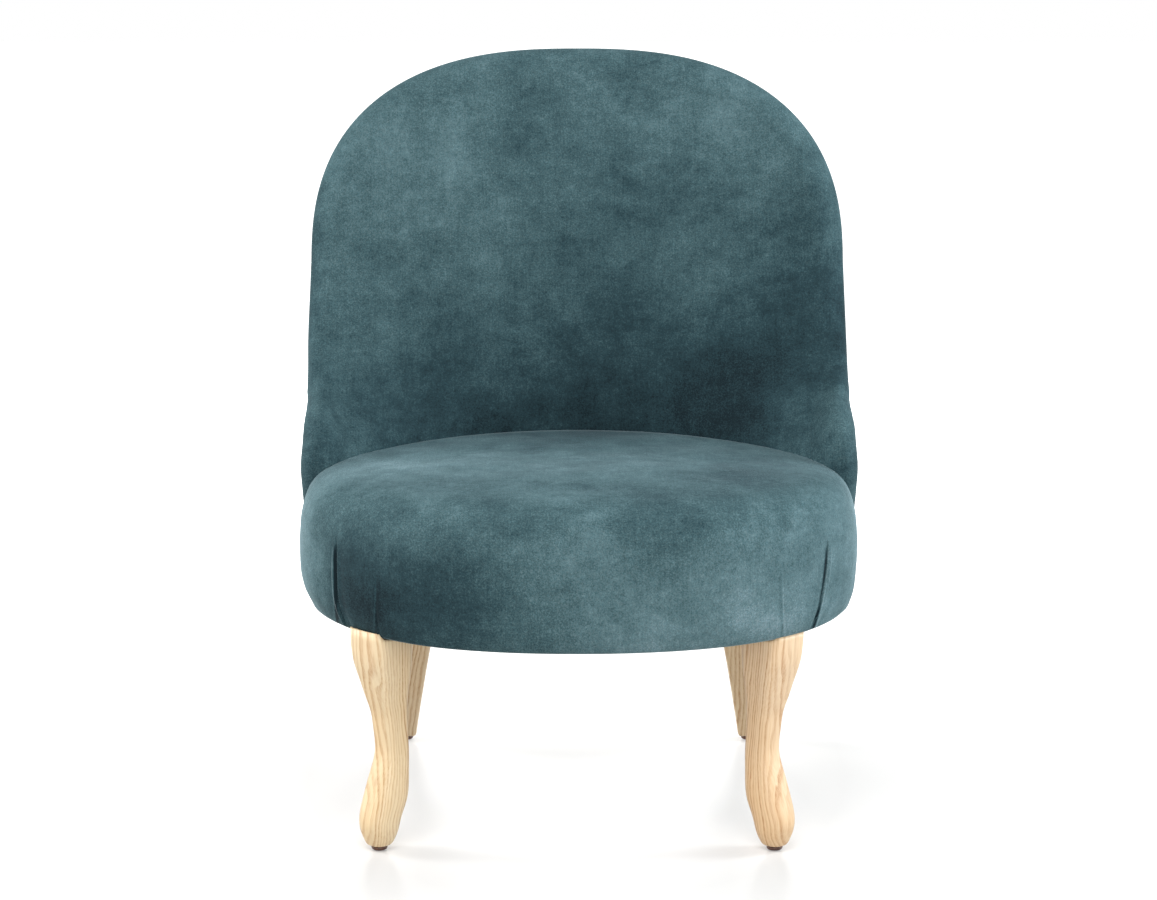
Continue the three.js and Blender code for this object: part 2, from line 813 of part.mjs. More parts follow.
const legs = sides.flatMap(({ name, sign }) => [
  {
    name: `front_${name}`,
    shape: frontLeg(sign),
    knee: new THREE.Vector2(sign * frontKnee.x, frontKnee.y),
    foot: new THREE.Vector2(sign * frontFootX, 0),
    run: sign * frontLegRun,
  },
  {
    name: `rear_${name}`,
    shape: rearLeg(sign),
    knee: new THREE.Vector2(sign * rearKnee.x, rearKnee.y),
    foot: new THREE.Vector2(sign * rearFootX, rearFootY),
    run: sign * rearLegRun,
  },
]);

const boltTop = blockTop + gap + nutHeight + boltProud;
const boltHole = (knee, foot, top) => upright(
  boltRadius + holeClearance, foot, top - foot, knee.x, knee.y,
);

for (const { name, shape, knee, foot, run } of legs) {
  const nailHole = upright(nailRadius + holeClearance, 0, legFoot + nailLength, foot.x, foot.y);
  const leg = cut(shape, [boltHole(knee, legTop - boltInLeg - gap, legTop + overrun), nailHole]);
  add(`leg_${name}`, leg, ash);
  add(`glide_${name}`, turned([
    [0, 0],
    [glideRadius - glideEdge, 0],
    [glideRadius, glideDome],
    [glideRadius - glideEdge, glideHeight],
    [nailRadius, glideHeight],
    [nailRadius, glideHeight + nailLength - nailRadius],
    [0, glideHeight + nailLength],
  ], foot.x, foot.y), nylon);
  add(`leg_bolt_${name}`, upright(
    boltRadius, legTop - boltInLeg, boltTop - legTop + boltInLeg, knee.x, knee.y,
  ), steel);
  add(`leg_nut_${name}`, turned([
    [boltRadius + holeClearance, blockTop + gap],
    [nutRadius, blockTop + gap],
    [nutRadius, blockTop + gap + nutHeight],
    [boltRadius + holeClearance, blockTop + gap + nutHeight],
    [boltRadius + holeClearance, blockTop + gap],
  ], knee.x, knee.y), steel);
  const block = ringPiece(
    run - blockLength / 2, run + blockLength / 2,
    railHalf - blockDepth, railHalf, railFoot, blockTop,
  );
  add(`corner_block_${name}`, cut(block, [boltHole(knee, railFoot - overrun, blockTop + overrun)]), beech);
}

// Seat rails. They notch over the corner blocks, whose tops lie lower than the rails'.

const blockHalf = blockLength / 2 + gap;
const rails = [
  { name: 'front_rail', from: -frontLegRun + blockHalf, to: frontLegRun - blockHalf },
  { name: 'side_rail_right', from: frontLegRun + blockHalf, to: rearLegRun - blockHalf },
  {
    name: 'rear_rail',
    from: rearLegRun + blockHalf,
    to: ring.length - rearLegRun - blockHalf,
  },
  { name: 'side_rail_left', from: -rearLegRun + blockHalf, to: -frontLegRun - blockHalf },
];
for (const { name, from, to } of rails) {
  add(name, ringPiece(from, to, -railHalf, railHalf, railFoot, railTop), beech);
}

// Seat webbing and the cloth over it. The ends of the straps follow the rails.

const webField = ringCloth(webOverlap - railHalf, railTop, overrun);

function strap(middle, lengthwise, foot) {
  const width = lengthwise ? webWidth : 2 * seatHalfWidth;
  const length = lengthwise ? seatFrontDepth + seatSideLength + seatRearDepth : webWidth;
  const box = new THREE.BoxGeometry(width, length, webThickness);
  const frontY = seatWidestY - seatFrontDepth;
  box.translate(
    lengthwise ? middle : 0,
    lengthwise ? frontY + length / 2 : middle,
    foot + webThickness / 2,
  );
  return trimmedTo(box, webField);
}

for (let k = -seatWebHalfCount; k <= seatWebHalfCount; k += 1) {
  add(
    `seat_web_long_${k + seatWebHalfCount + 1}`,
    strap(k * seatWebPitchShare * seatHalfWidth, true, seatWebFoot),
    jute,
  );
}
const crossWebPlaces = Array.from(
  { length: crossWebCount },
  (_, k) => crossWebFirstY + k * crossWebPitch,
);
[...crossWebPlaces, crossWebRearY].forEach((y, k) => {
  add(`seat_web_cross_${k + 1}`, strap(y, false, crossWebFoot), jute);
});
add('seat_hessian', ringCloth(-railHalf - curvedGap, hessianFoot, clothThickness), jute);

// Back frame.

// Heights of the rows of a piece of the back: those of the wing's edge that lie inside it,
// and even steps between them.
function heightsBetween(foot, top) {
  const inside = wingEdge.map((point) => point.z).filter((z) => z > foot && z < top);
  const knots = [foot, ...inside, top];
  const heights = [foot];
  for (let k = 1; k < knots.length; k += 1) {
    const steps = Math.ceil((knots[k] - knots[k - 1]) / frameRowStep);
    for (let i = 1; i <= steps; i += 1) {
      heights.push(lerp(knots[k - 1], knots[k], i / steps));
    }
  }
  return heights;
}

function spread(from, to, columns) {
  return Array.from({ length: columns + 1 }, (_, j) => lerp(from, to, j / columns));
}

// A piece of the back between two columns given by shares at each height.
function backPiece(heights, shareRows, front, rear) {
  const columns = shareRows[0].length - 1;
  const sheet = (depth) => heights.flatMap((row, i) => shareRows[i].map((share, j) => {
    const z = Array.isArray(row) ? row[j] : row;
    return backPoint(share, z, depth);
  }));
  return solidBetween(sheet(front), sheet(rear), gridFaces(heights.length - 1, columns));
}

const stripColumns = 3;
const archColumns = 16;
const stayColumns = 16;
const stileTop = backArchFoot + archSeat;
const stayTop = stayRailFoot + stayRailHeight;

// Each piece of the back's frame can be made a little larger, by a given spare, to clear
// what lies on it.

function stile(sign, spare = 0) {
  const heights = heightsBetween(railTop + gap - spare, backArchFoot - frameEdge);
  const shares = (z) => {
    const inner = shareFromEdge(z, frameEdge + stileWidth + spare);
    const outer = shareFromEdge(z, frameEdge - spare);
    return sign > 0 ? spread(inner, outer, stripColumns) : spread(-outer, -inner, stripColumns);
  };
  const topShares = shares(stileTop);
  const top = topShares.map((share) => Math.min(stileTop, archHeight(share) - frameEdge) + spare);
  return backPiece(
    [...heights, top],
    [...heights.map(shares), topShares],
    frameFront - spare,
    frameRear + spare,
  );
}

function archRail(spare = 0) {
  const end = shareFromEdge(stileTop, frameEdge - spare);
  const shares = Array.from(
    { length: archColumns + 1 },
    (_, j) => end * Math.sin(((2 * j) / archColumns - 1) * quarter * archSpread),
  );
  const top = shares.map((share) => archHeight(share) - frameEdge + spare);
  const foot = top.map((z) => Math.max(z - archBand - 2 * spare, stileTop + gap - spare));
  return backPiece([foot, top], [shares, shares], frameFront - spare, frameRear + spare);
}

function acrossBack(z, fromEdge) {
  const reach = shareFromEdge(z, fromEdge);
  return spread(-reach, reach, stayColumns);
}

function stayRail(spare = 0) {
  const heights = heightsBetween(stayRailFoot - spare, stayTop + spare);
  const edge = frameEdge + stileWidth + curvedGap - spare;
  return backPiece(
    heights,
    heights.map((z) => acrossBack(z, edge)),
    frameFront - spare,
    frameRear + spare,
  );
}

// A strip that runs up the back, centred on a line a given way from the middle, from a
// foot to a height below the top of the arch.
function upwardStrip(middle, width, foot, belowArch, front, rear) {
  const heights = heightsBetween(foot, strapTop);
  const shares = (z) => spread(
    shareAt(z, middle - width / 2), shareAt(z, middle + width / 2), stripColumns,
  );
  const topShares = shares(backArchFoot + backArchRise);
  const top = topShares.map((share) => archHeight(share) - belowArch);
  return backPiece([...heights, top], [...heights.map(shares), topShares], front, rear);
}

function backUpright(sign, spare = 0) {
  return upwardStrip(
    sign * uprightPlaceShare * backHalfWidth,
    uprightWidth + 2 * spare,
    stayTop + gap,
    frameEdge + archBand + curvedGap - spare,
    frameFront - spare,
    frameRear + spare,
  );
}

for (const { name, sign } of sides) {
  add(`back_stile_${name}`, stile(sign), beech);
  add(`back_upright_${name}`, backUpright(sign), beech);
}
add('back_arch_rail', archRail(), beech);
add('back_stay_rail', stayRail(), beech);

// Back webbing, in front of the frame. The straps are fitted to what they lie on.

const backWebRear = frameFront - curvedGap;
const crossWebFront = backWebRear - curvedGap - webThickness;
const uprightWebRear = crossWebFront - curvedGap;
const uprightWebFront = uprightWebRear - curvedGap - webThickness;

function crossWeb(k, spare = 0) {
  const foot = backWebFirstHeight + k * backWebPitch;
  const heights = heightsBetween(foot - spare, foot + webWidth + spare);
  const edge = frameEdge + stileWidth - webOverlap - spare;
  return backPiece(
    heights,
    heights.map((z) => acrossBack(z, edge)),
    crossWebFront - spare,
    backWebRear,
  );
}

const frameClearance = [
  ...sides.flatMap(({ sign }) => [stile(sign, gap), backUpright(sign, gap)]),
  archRail(gap),
  stayRail(gap),
];
const crossWebClearance = [];
for (let k = 0; k < backWebCount; k += 1) {
  add(`back_web_cross_${k + 1}`, cut(crossWeb(k), frameClearance), jute);
  crossWebClearance.push(crossWeb(k, gap));
}

function uprightWeb(k, spare = 0) {
  return upwardStrip(
    k * backUprightWebShare * backHalfWidth,
    webWidth + 2 * spare,
    stayTop - webOverlap - spare,
    frameEdge + archBand - webOverlap - spare,
    uprightWebFront - spare,
    uprightWebRear,
  );
}

const uprightWebClearance = [];
for (let k = -1; k <= 1; k += 1) {
  const web = cut(uprightWeb(k), [...frameClearance, ...crossWebClearance]);
  add(`back_web_upright_${k + 2}`, web, jute);
  uprightWebClearance.push(uprightWeb(k, gap));
}

// Back upholstery, from the foam out.

const foamRear = uprightWebFront - shellGap;
const insideSteps = 3; // round the rim, from the inside face to the seam
const outsideSteps = 2; // and from the outside face
const seamGap = (360 * gap) / (2 * Math.PI * rimRadius);

function anglesTo(last, steps) {
  return spread(0, last, steps).slice(1);
}

const outsideTurn = 180 - seamAngle;
const insideAngles = anglesTo(seamAngle, insideSteps);
const paddingAngles = [...insideAngles, seamAngle + outsideTurn / outsideSteps];
const paddingRim = { foot: insideFoot, angles: paddingAngles };
const foamInner = backSheet({
  side: -1,
  foot: insideFoot,
  faceAt: () => foamRear,
  rim: paddingAngles.map((angle) => ({
    outwards: lerp(foamRear, frameRear, angle / paddingAngles[insideSteps]),
    beyond: curvedGap,
  })),
});
add('back_foam', cut(
  layerBetween(upholsterySheet(-1, foamDepth, paddingRim), foamInner),
  [...frameClearance, ...crossWebClearance, ...uprightWebClearance],
), foam);
add('back_wadding', layerBetween(
  upholsterySheet(-1, waddingDepth, paddingRim),
  upholsterySheet(-1, waddingDepth + waddingThickness, paddingRim),
), wadding);

// Below the padding only the part of the inside cover that turns round the wing's front
// edge goes on down, outside the rails.
const insideRim = { foot: seatUnderside, angles: anglesTo(seamAngle - seamGap / 2, insideSteps) };
const withinRails = ringCloth(
  railHalf + gap,
  seatUnderside - overrun,
  insideFoot - seatUnderside + overrun,
);
add('back_inside_cover', cut(
  layerBetween(upholsterySheet(-1, 0, insideRim), upholsterySheet(-1, coverThickness, insideRim)),
  [withinRails],
), velvet);

const outsideRim = {
  foot: seatUnderside,
  angles: anglesTo(outsideTurn - seamGap / 2, outsideSteps),
};
add('back_outside_cover', layerBetween(
  upholsterySheet(1, 0, outsideRim),
  upholsterySheet(1, coverThickness, outsideRim),
), velvet);

const panelFront = frameRear + shellGap;
const panelRear = panelFront + panelThickness;
add('back_outside_panel', cut(
  layerBetween(flatSheet(1, panelRear, railFoot), flatSheet(1, panelFront, railFoot)),
  frameClearance,
), board);
add('back_outside_wadding', layerBetween(
  upholsterySheet(1, waddingDepth, { foot: railFoot }),
  flatSheet(1, panelRear + gap, railFoot),
), wadding);

// Seat upholstery. It ends where it meets the back.

const clearedRim = { foot: seatUnderside - overrun, angles: insideAngles };
const behindBack = paddingRear + seatRearDepth;
const clearedRear = backSheet({
  side: 1,
  foot: clearedRim.foot,
  faceAt: () => behindBack,
  rim: anglesTo(outsideTurn, insideSteps).map((angle) => ({
    outwards: behindBack * Math.cos(radians(angle)),
    beyond: (rimRadius + gap) * Math.sin(radians(angle)),
  })),
});
const backForm = layerBetween(upholsterySheet(-1, -gap, clearedRim), clearedRear);

const seatFoam = seatLayer(foamDepth, { foot: foamFoot });
const capFaces = [Array.from({ length: seatOutline.length }, (_, j) => seatOutline.length - 1 - j)];
add('seat_foam', cut(geometryOf(seatFoam.points, [...seatFoam.faces, ...capFaces]), [backForm]), foam);

const waddingOut = seatLayer(waddingDepth, { foot: railFoot });
const waddingIn = seatLayer(waddingDepth + waddingThickness, { foot: railFoot });
add('seat_wadding', cut(solidBetween(waddingOut.points, waddingIn.points, waddingOut.faces), [backForm]), wadding);

const boltHoles = legs.map(({ knee }) => boltHole(knee, dustCoverFoot - overrun, railFoot));
const coverOut = seatLayer(0, { hem: true });
const coverIn = seatLayer(coverThickness, { hem: true });
add('seat_cover', cut(
  solidBetween(coverOut.points, coverIn.points, coverOut.faces),
  [backForm, ...boltHoles],
), velvet);

add('dust_cover', cut(
  ringCloth(railHalf + dustCoverMargin, dustCoverFoot, clothThickness),
  boltHoles,
), cambric);

// The origin is the middle of the chair's footprint, on the floor.

const box = new THREE.Box3().setFromObject(chair);
chair.position.set(-(box.min.x + box.max.x) / 2, -(box.min.y + box.max.y) / 2, -box.min.z);
chair.updateMatrixWorld(true);

export default chair;
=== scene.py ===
"""The looks of a slipper chair: velvet upholstery, ash legs and their glides, round its CAD frame.

Sizes are in millimetres, in the chair's own measure: x to the right as the camera sees it, y
backwards from the line of the front feet, z up from the floor. placed() turns them into the
frame's metres.
"""

import math

import bmesh
import bpy
import numpy as np
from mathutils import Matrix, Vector, noise


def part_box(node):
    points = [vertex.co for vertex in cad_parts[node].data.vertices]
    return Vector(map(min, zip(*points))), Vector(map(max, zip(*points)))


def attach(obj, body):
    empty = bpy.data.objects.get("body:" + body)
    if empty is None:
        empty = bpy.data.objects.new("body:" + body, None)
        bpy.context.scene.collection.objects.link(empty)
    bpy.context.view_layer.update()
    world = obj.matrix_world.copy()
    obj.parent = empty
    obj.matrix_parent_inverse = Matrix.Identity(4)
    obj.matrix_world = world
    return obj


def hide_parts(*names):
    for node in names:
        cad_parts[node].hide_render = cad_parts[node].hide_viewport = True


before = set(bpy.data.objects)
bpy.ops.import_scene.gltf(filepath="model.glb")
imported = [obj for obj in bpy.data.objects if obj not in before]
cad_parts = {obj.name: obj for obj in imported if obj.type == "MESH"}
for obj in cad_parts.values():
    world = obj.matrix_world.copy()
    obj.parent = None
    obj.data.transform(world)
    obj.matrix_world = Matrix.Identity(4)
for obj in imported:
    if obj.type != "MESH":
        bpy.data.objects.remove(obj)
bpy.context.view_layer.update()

MM = 0.001
TAU = 2 * math.pi


def middle_of(node):
    low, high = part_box(node)
    return (low + high) / 2 / MM


FEET_LINE = middle_of("glide_front_left").y

# Camera.
IMAGE_WIDTH = 1157
SENSOR = 36
FOCAL_PIXELS = 3000
CAMERA_PITCH = 10  # degrees below the horizon
CAMERA_PLACE = (1.5, -2885, 914)
CAMERA_REACH = 100  # metres

# Studio, in metres and watts.
LAMP_AIM = (0, 0, 0.4)
LAMPS = (
    # place, size, power, colour
    ((-0.25, -1.5, 2.5), (1.4, 1.2), 38, (1, 1, 1)),
    ((-2.0, 0.4, 1.1), (0.7, 1.5), 31, (1, 1, 1)),
    ((2.0, 0.3, 1.1), (0.7, 1.5), 35, (0.9, 0.96, 1)),
    ((0.4, -3.4, 1.4), (2.2, 1.8), 42, (1, 1, 1)),
    ((-0.5, 3.0, 0.5), (0.4, 0.3), 24, (1, 1, 1)),
    ((0.5, 3.0, 0.5), (0.4, 0.3), 24, (1, 1, 1)),
)
WORLD_STRENGTH = 0.42
FLOOR_HALF = 20
FLOOR_TONES = ((203, 202, 200), (206, 205, 204))
FLOOR_WHITE = (1, 0.995, 0.985, 1)
# The floor's glow, which only the camera and the reflections see: beside the chair, in the dim
# place under it, where it is painted light that covers the chair's shadow, and far away, with the
# distances over which they change.
FLOOR_LIFT = 0.16
UNDER_PAINTED_LIGHT = 0.45
UNDER_REACH = (0.2, 0.38)
UNDER_STRETCH = (1.3, 0.8, 0)
UNDER_SHIFT = (0, -0.096, 0)
UNDER_BEHIND = 0.35
FAR_REACH = (0.5, 1.5)

# Seat.
SEAT_HALF_WIDTH = 287
SEAT_FRONT_DEPTH = 270
SEAT_WIDEST_Y = 175
SEAT_SIDE_LENGTH = 30
SEAT_REAR_DEPTH = 178
SEAT_ROUNDNESS = 2.2
SEAT_UNDERSIDE = 220.4
SEAT_CROWN_HEIGHT = 371
SEAT_CROWN_Y = 150
SEAT_SIDE_FALL = 14
SEAT_FRONT_FALL = 12
SEAT_DRAWN_IN = 8
SEAT_MIDDLE = np.array((0, 150))
SHOULDER_INSET = 70
HEM_WIDTH = 26
HEM_ROUNDING = 4
HEM_ROLL = ((2, 0), (1, 0.12), (0.3, 0.5))  # inset and height of the hem, in its roundings
HEM_FOLD = 0.6  # how far the turned-in edge of the cover bulges
COVER_THICKNESS = 1.6
RAIL_INSET = 20
RAIL_CLEARANCE = 1.2
RAIL_CORNER = 1  # bevel of the cover where it meets the rails
FOAM_FOOT = 286.8
# The cushion's side and shoulder from the lower edge up: how far it is drawn in, how much of
# the shoulder's inset it has, and its share of the height.
SHOULDER = np.array([
    (1, 0, 0), (0.2, 0, 0.16), (0, 0, 0.42), (0, 0.02, 0.62),
    (0, 0.11, 0.8), (0, 0.32, 0.925), (0, 0.64, 0.98), (0, 1, 1),
])
SHOULDER_ROWS = 46
CROWN_ROWS = 26
SEAT_STEP = 5.5
STEP_GROWTH = 0.25  # of the distance from a finer place
RIGHT_FULLNESS = 2.6
RIGHT_SIDE = (60, 270)  # x over which the fullness grows
CORNER_DRAWN_IN = 6  # how much more the lower left corner is drawn in
CORNER_SIDE = (130, 250)  # distance to the left over which that grows
CORNER_HEIGHT = 0.34  # share of the seat's height at which it ends
CORNER_CURVE = 1.5
SEAT_LUMPS = ((75, 1.3, 1), (28, 0.35, 2))  # size, height and seed
BACK_LUMPS = ((95, 1.5, 3), (34, 0.4, 4))
LUMP_SHIFT = (17.3, 5.1, 9.7)  # between seeds
CROWN_LUMPS_START = 5  # how fast the crown's lumps rise from its edge
OUTLINE_POINTS = 1600
OUTLINE_STEP = 9
OUTLINE_LOOK = 2  # how far ahead and behind a direction is taken
OUTLINE_EVERY = 8  # the legs' tops are measured to one point in so many
SAME_PLACE = 1e-6

# Folds of the seat's cover. lines: x at the upper end, and how far it moves towards the middle
# on the way down. fade: share of the height over which they run out. form: place outwards from
# the fold, reach and depth. marks: the same for the painted shade in the folds and the painted
# highlights beside them, with how light it gets. mesh: reach and step of the finer mesh.
PLEATS = {
    "lines": ((-239, 0), (248, 15)),
    "fade": (0.5, 0.66),
    "form": ((0, 0.9, 9), (3.2, 3.2, -1.8), (-7, 7, 1.3)),
    # painted shade in the pleat's slit and a painted highlight on its flap, with fainter painted shade
    # and light beyond
    "marks": ((0, 1.1, -0.75), (2.6, 1.1, 0.14), (-6, 6, -0.05), (12, 6, 0.04)),
    "mesh": (15, 0.45),
}
CREASES = {
    "lines": ((-194, -5), (199, -4)),
    "fade": (0.3, 0.6),
    "form": ((0, 1.6, 0.7),),
    # a painted highlight along the crease and painted shade beside it
    "marks": ((0.9, 0.9, 0.15), (-1.6, 2, -0.1)),
    "mesh": (7, 0.7),
}
FOLDS = (PLEATS, CREASES)
FOLD_CURVE = 3
FOLD_REACH = 14  # of the mesh that follows a fold

# Back.
BACK_HALF_WIDTH = 258
ARCH_FOOT = 549
ARCH_RISE = 195
ARCH_ROUNDNESS = 2.6
BACK_REAR_Y = 385
BACK_BEND_HEIGHT = 402
BACK_BEND_SOFTNESS = 26
BACK_LEAN = 0.178
ARCH_GATHER = 31
RIM_RADIUS = 32
PADDING_FRONT = 40
PADDING_REAR = 30
LUMBAR_CROWN = 16
OUTSIDE_CROWN = 3
CROWN_FADE = 1.4  # how fast a crown falls off to the sides
CROWN_LOWER = 0.7  # under 1, it is fullest below its middle
SEAM_ANGLE = 150
INSIDE_FOOT = 292
WING_TIP_Y = 200
# How much the velvet stands out at the back's sides, by height.
SIDE_FLARE = np.array([
    (220, 0), (260, 1), (320, 2.5), (370, 3.5), (405, 5.5), (450, 3.5), (500, 1.8), (560, 0.5), (640, 0),
])
FLARE_FROM = 0.6  # share of the half width
# How far the back's wings lie to the right, by height.
SIDE_SWAY = np.array([(220, 0), (260, 1), (300, 2.4), (380, 2.4), (430, 1), (480, 0), (640, 0)])
EDGE_EASE = 9  # how much thinner the inside padding is at its edge
WING_EASE = 12  # how much more in the wings
WING_EASE_HEIGHTS = (400, 520)
EDGE_EASE_START = 0.42  # share of the way to the edge at which it starts
EDGE_EASE_LENGTH = 135  # how far from the edge that is
EDGE_SMOOTHING = 24  # rounds of smoothing over the edge of the wings
EDGE_SMOOTHING_STEP = 0.6
SMOOTHED_TO = (60, 115)  # degrees round the rim over which the smoothing runs out
SMOOTHED_FROM = (0.62, 0.85)  # shares of the way to the edge over which it starts
SMOOTHED_ABOVE = (2, 40)  # heights above the underside over which it starts
LUMPS_ABOVE = 60  # the height over which the lumps start
FOAM_LEAST = 5
RIM_HANDLE = 0.5523  # of a quarter circle drawn as a cubic curve
FOOT_DRAWN_IN = 6
FOOT_HEIGHT = 60  # of the part that is drawn in
# The front edge of the back: height, and its share of the way from the wing's tip to the
# foot of the arch.
WING_EDGE = np.array([
    (200, 0.133), (292, 0.133), (325, 0.05), (350, 0), (375.05, 0.122), (402, 0.4),
    (450.07, 0.688), (500.05, 0.866), (549, 1),
])
BACK_ROWS = 84
ARCH_POINTS = 2000
ARCH_COLUMNS = 120
RIM_STEP = 5  # degrees
INNER_FRONT = 18  # from the middle of the sheet to the foam's inner face
INNER_REAR = 14.5
INNER_RIM = 8
FOOT_ROWS = (0, 0.0007, 0.0028, 0.0065, 0.0115)
RIM_TURNING = 30
SEAM_GAP = 0.3  # degrees
SEAM_STEPS = np.array((14, 10.5, 7.5, 5, 3, 1.4, 0))  # degrees short of the seam
SEAM_DIP = 1.3
SEAM_REACH = 4  # degrees
TUCK = 1.5  # how deep the seat sinks into the back's padding
CUT_BELOW = 16  # how far the back's form reaches below the underside
SAME_LEVEL = 0.01
PRISM_BELOW = 20  # how far the rails' room does

# Where the velvet is painted lighter or darker: random patches of its tone, with painted shade where
# the seat meets the back, on the seat's rear and at the back's foot, and painted sheen at the sides:
# place, reach and amount.
SEAT_NAP_AND_PAINTED_LIGHT = (
    (-180, 0, 262, 75, -0.28), (-120, -40, 250, 60, -0.05), (185, 0, 258, 95, 0.17),
    (280, 120, 280, 80, 0.21), (-285, 120, 280, 80, 0.14), (0, -95, 260, 70, 0.05),
    (0, 320, 372, 130, -0.24), (150, 60, 345, 90, -0.08), (-215, -30, 245, 50, -0.05),
    (90, -80, 245, 80, 0.07), (-30, -95, 240, 90, 0.03), (190, 90, 350, 85, -0.1),
    (-128, -55, 272, 55, -0.14), (75, -85, 300, 60, -0.04), (-165, 110, 356, 85, 0.07),
    (60, -50, 335, 60, -0.05), (110, 200, 365, 90, 0.03),
)
BACK_NAP_AND_PAINTED_LIGHT = (
    (-172, 400, 647, 100, 0.17), (-112, 400, 690, 50, -0.05), (-80, 400, 640, 70, 0.05),
    (0, 430, 745, 120, 0.07), (155, 410, 611, 55, 0.09), (-62, 385, 511, 60, 0.05),
    (123, 380, 489, 105, -0.07), (25, 350, 395, 120, -0.06), (-214, 400, 633, 45, -0.04),
    (231, 420, 640, 90, 0.03), (-250, 300, 430, 80, 0.09), (-270, 230, 350, 70, 0.12),
    (270, 230, 370, 80, 0.12), (215, 330, 400, 70, -0.1), (120, 390, 500, 90, 0.05),
    (165, 390, 520, 70, 0.09), (155, 360, 400, 60, -0.1), (0, 350, 365, 45, -0.02),
    (-90, 350, 365, 45, -0.08), (85, 350, 365, 45, -0.06), (190, 320, 375, 50, -0.13),
    (-185, 320, 375, 50, -0.13), (-90, 345, 372, 50, -0.06), (-60, 400, 585, 50, -0.05),
    (-215, 380, 500, 60, 0.04), (90, 410, 700, 60, 0.03), (-10, 400, 560, 80, -0.04),
)
OUTSIDE_NAP = ((-90, 440, 560, 130, 0.05), (110, 430, 420, 120, -0.05), (0, 440, 660, 90, 0.03))
SEAT_NAP_BASE = 0.02
BACK_NAP_BASE = -0.11
# Painted shade on the back's inside: darker towards the seat and lighter towards its top, over these
# heights.
BACK_PAINTED_SHADE_RISE = 0.1
PAINTED_SHADE_HEIGHTS = (350, 720)

# Legs and glides.
# The front legs: height share, half of the section, bend share and squareness.
CABRIOLE = np.array([
    (0, 0.4, 0, 2.4), (0.055, 0.58, 0, 2.5), (0.126, 0.68, 0.04, 2.7), (0.21, 0.72, 0.36, 3),
    (0.327, 0.643, 0.66, 3.4), (0.43, 0.555, 0.84, 3.8), (0.547, 0.56, 0.72, 4.5),
    (0.63, 0.6, 0.6, 5), (0.692, 0.68, 0.45, 5.5), (0.78, 0.81, 0.29, 6),
    (0.864, 0.93, 0.13, 6), (1, 1, 0, 6),
])
LEG_NAMES = ("front_left", "front_right", "rear_left", "rear_right")
LEG_FOOT = 5.3
LEG_TOP = 219.1
LEG_ROUNDING = 2.5
LEG_ROUNDING_ROWS = np.array((0.12, 0.35))
KNEE_HALF = 30.8
ANKLE_SET = 13
REAR_KNEE_HALF = 23
REAR_FOOT_HALF = 11.5
REAR_SWELL = 1.3
REAR_SQUARENESS = 7
LEG_COLUMNS = 72
LEG_ROWS = 90
LEG_TURNS = np.arange(LEG_COLUMNS) / LEG_COLUMNS * TAU
# How the front legs' tops follow the roll of the cover's lower edge: how far outwards from the
# flat of its underside, and how far up.
LEG_TOP_RISE = np.array([(0, 0), (4, 0.4), (6.8, 1.9), (8, 3.7), (9.5, 7)])
LEG_TOP_RINGS = (1, 0.92, 0.82, 0.7, 0.55)
BOLT_HOLE = 4.4
BOLT_IN_LEG = 30.3
NAIL_HOLE = 2
NAIL_RADIUS = 1.6
NAIL_LENGTH = 16
NAIL_POINT = 0.08  # share of the radius
GLIDE_RADIUS = 8
GLIDE_HEIGHT = 5
GLIDE_SEAT = 0.05  # the nail's foot above the dome
# The glide's dome: share of the radius, and height.
GLIDE_PROFILE = (
    (0.3, 0), (0.62, 0.12), (0.8, 0.5), (0.92, 1.1), (0.985, 2), (1, 2.8), (0.98, 3.6),
    (0.9, 4.4), (0.8, 4.85), (0.6, 5),
)

# Webbing and linings.
RAILS = ["front_rail", "side_rail_left", "rear_rail", "side_rail_right"]
BACK_FRAME = ["back_stile_left", "back_stile_right", "back_arch_rail", "back_stay_rail"]
STRAPS = (
    # piece, how its nodes' names start, what it rests on
    ("seat_straps_long", "seat_web_long", RAILS),
    ("seat_straps_cross", "seat_web_cross", RAILS),
    ("back_straps_cross", "back_web_cross", BACK_FRAME),
    ("back_straps_upright", "back_web_upright", BACK_FRAME),
)
CLOTH_EDGE = 14
CLOTH_SPLITS = 6
CLOTH_WAVE = 22
CLOTH_WAVE_HEIGHT = 0.12
DUST_LEVEL = 219.75
DUST_THICKNESS = 0.6
DUST_SAG = 5
DUST_SAG_FROM = (0.3, 0.93)  # shares of the way to the edge
DUST_FREE = (45, 120)  # distances from a leg over which the sag starts
DUST_SECTORS = 36
DUST_INSET = 30  # from the seat's outline, in front and at the sides
DUST_REAR = (0, 0.2)  # sines of the direction over which the rear starts
DUST_COLUMNS = 150
DUST_ROWS = 30
DUST_RIPPLE = (40, 0.5, 5)  # size, height and seed
DUST_RIPPLE_EDGE = (0.98, 0.8)  # shares of the way to the edge over which it starts
DUST_RIPPLE_LEAST = -0.2  # below 0 it rises

# Materials. Marks in a material are noise: scale, detail, roughness and distortion, and then
# how its place is stretched, shifted and turned.
VELVET_MARKS = {
    # name: amount in the tone, noise
    "clouds": (0.45, (9, 5, 0.6, 0.5)),
    "patches": (0.26, (27, 4, 0.62, 0.3, (1, 1, 1.2), (0.31, 0.12, 0.7))),
    "brushed": (0.14, (60, 4, 0.65, 0.2, (1, 1.3, 2.2), (0.7, 0.4, 0.1), (0, 20, 0))),
    "mottle": (0.16, (110, 3, 0.65, 0, (1, 1, 1), (0.9, 0.2, 0.4))),
    "speckle": (0.2, (520, 2, 0.7)),
    "grit": (0.17, (1050, 1, 0.5)),
    "threads": (0.12, None),
}
VELVET_FINE = (0.25, 0.75)  # the part of the fine marks' noise that counts
VELVET_ACROSS = (640, 2, 0.75, 0, (1, 0.03, 0.03), (0.2, 0, 0))
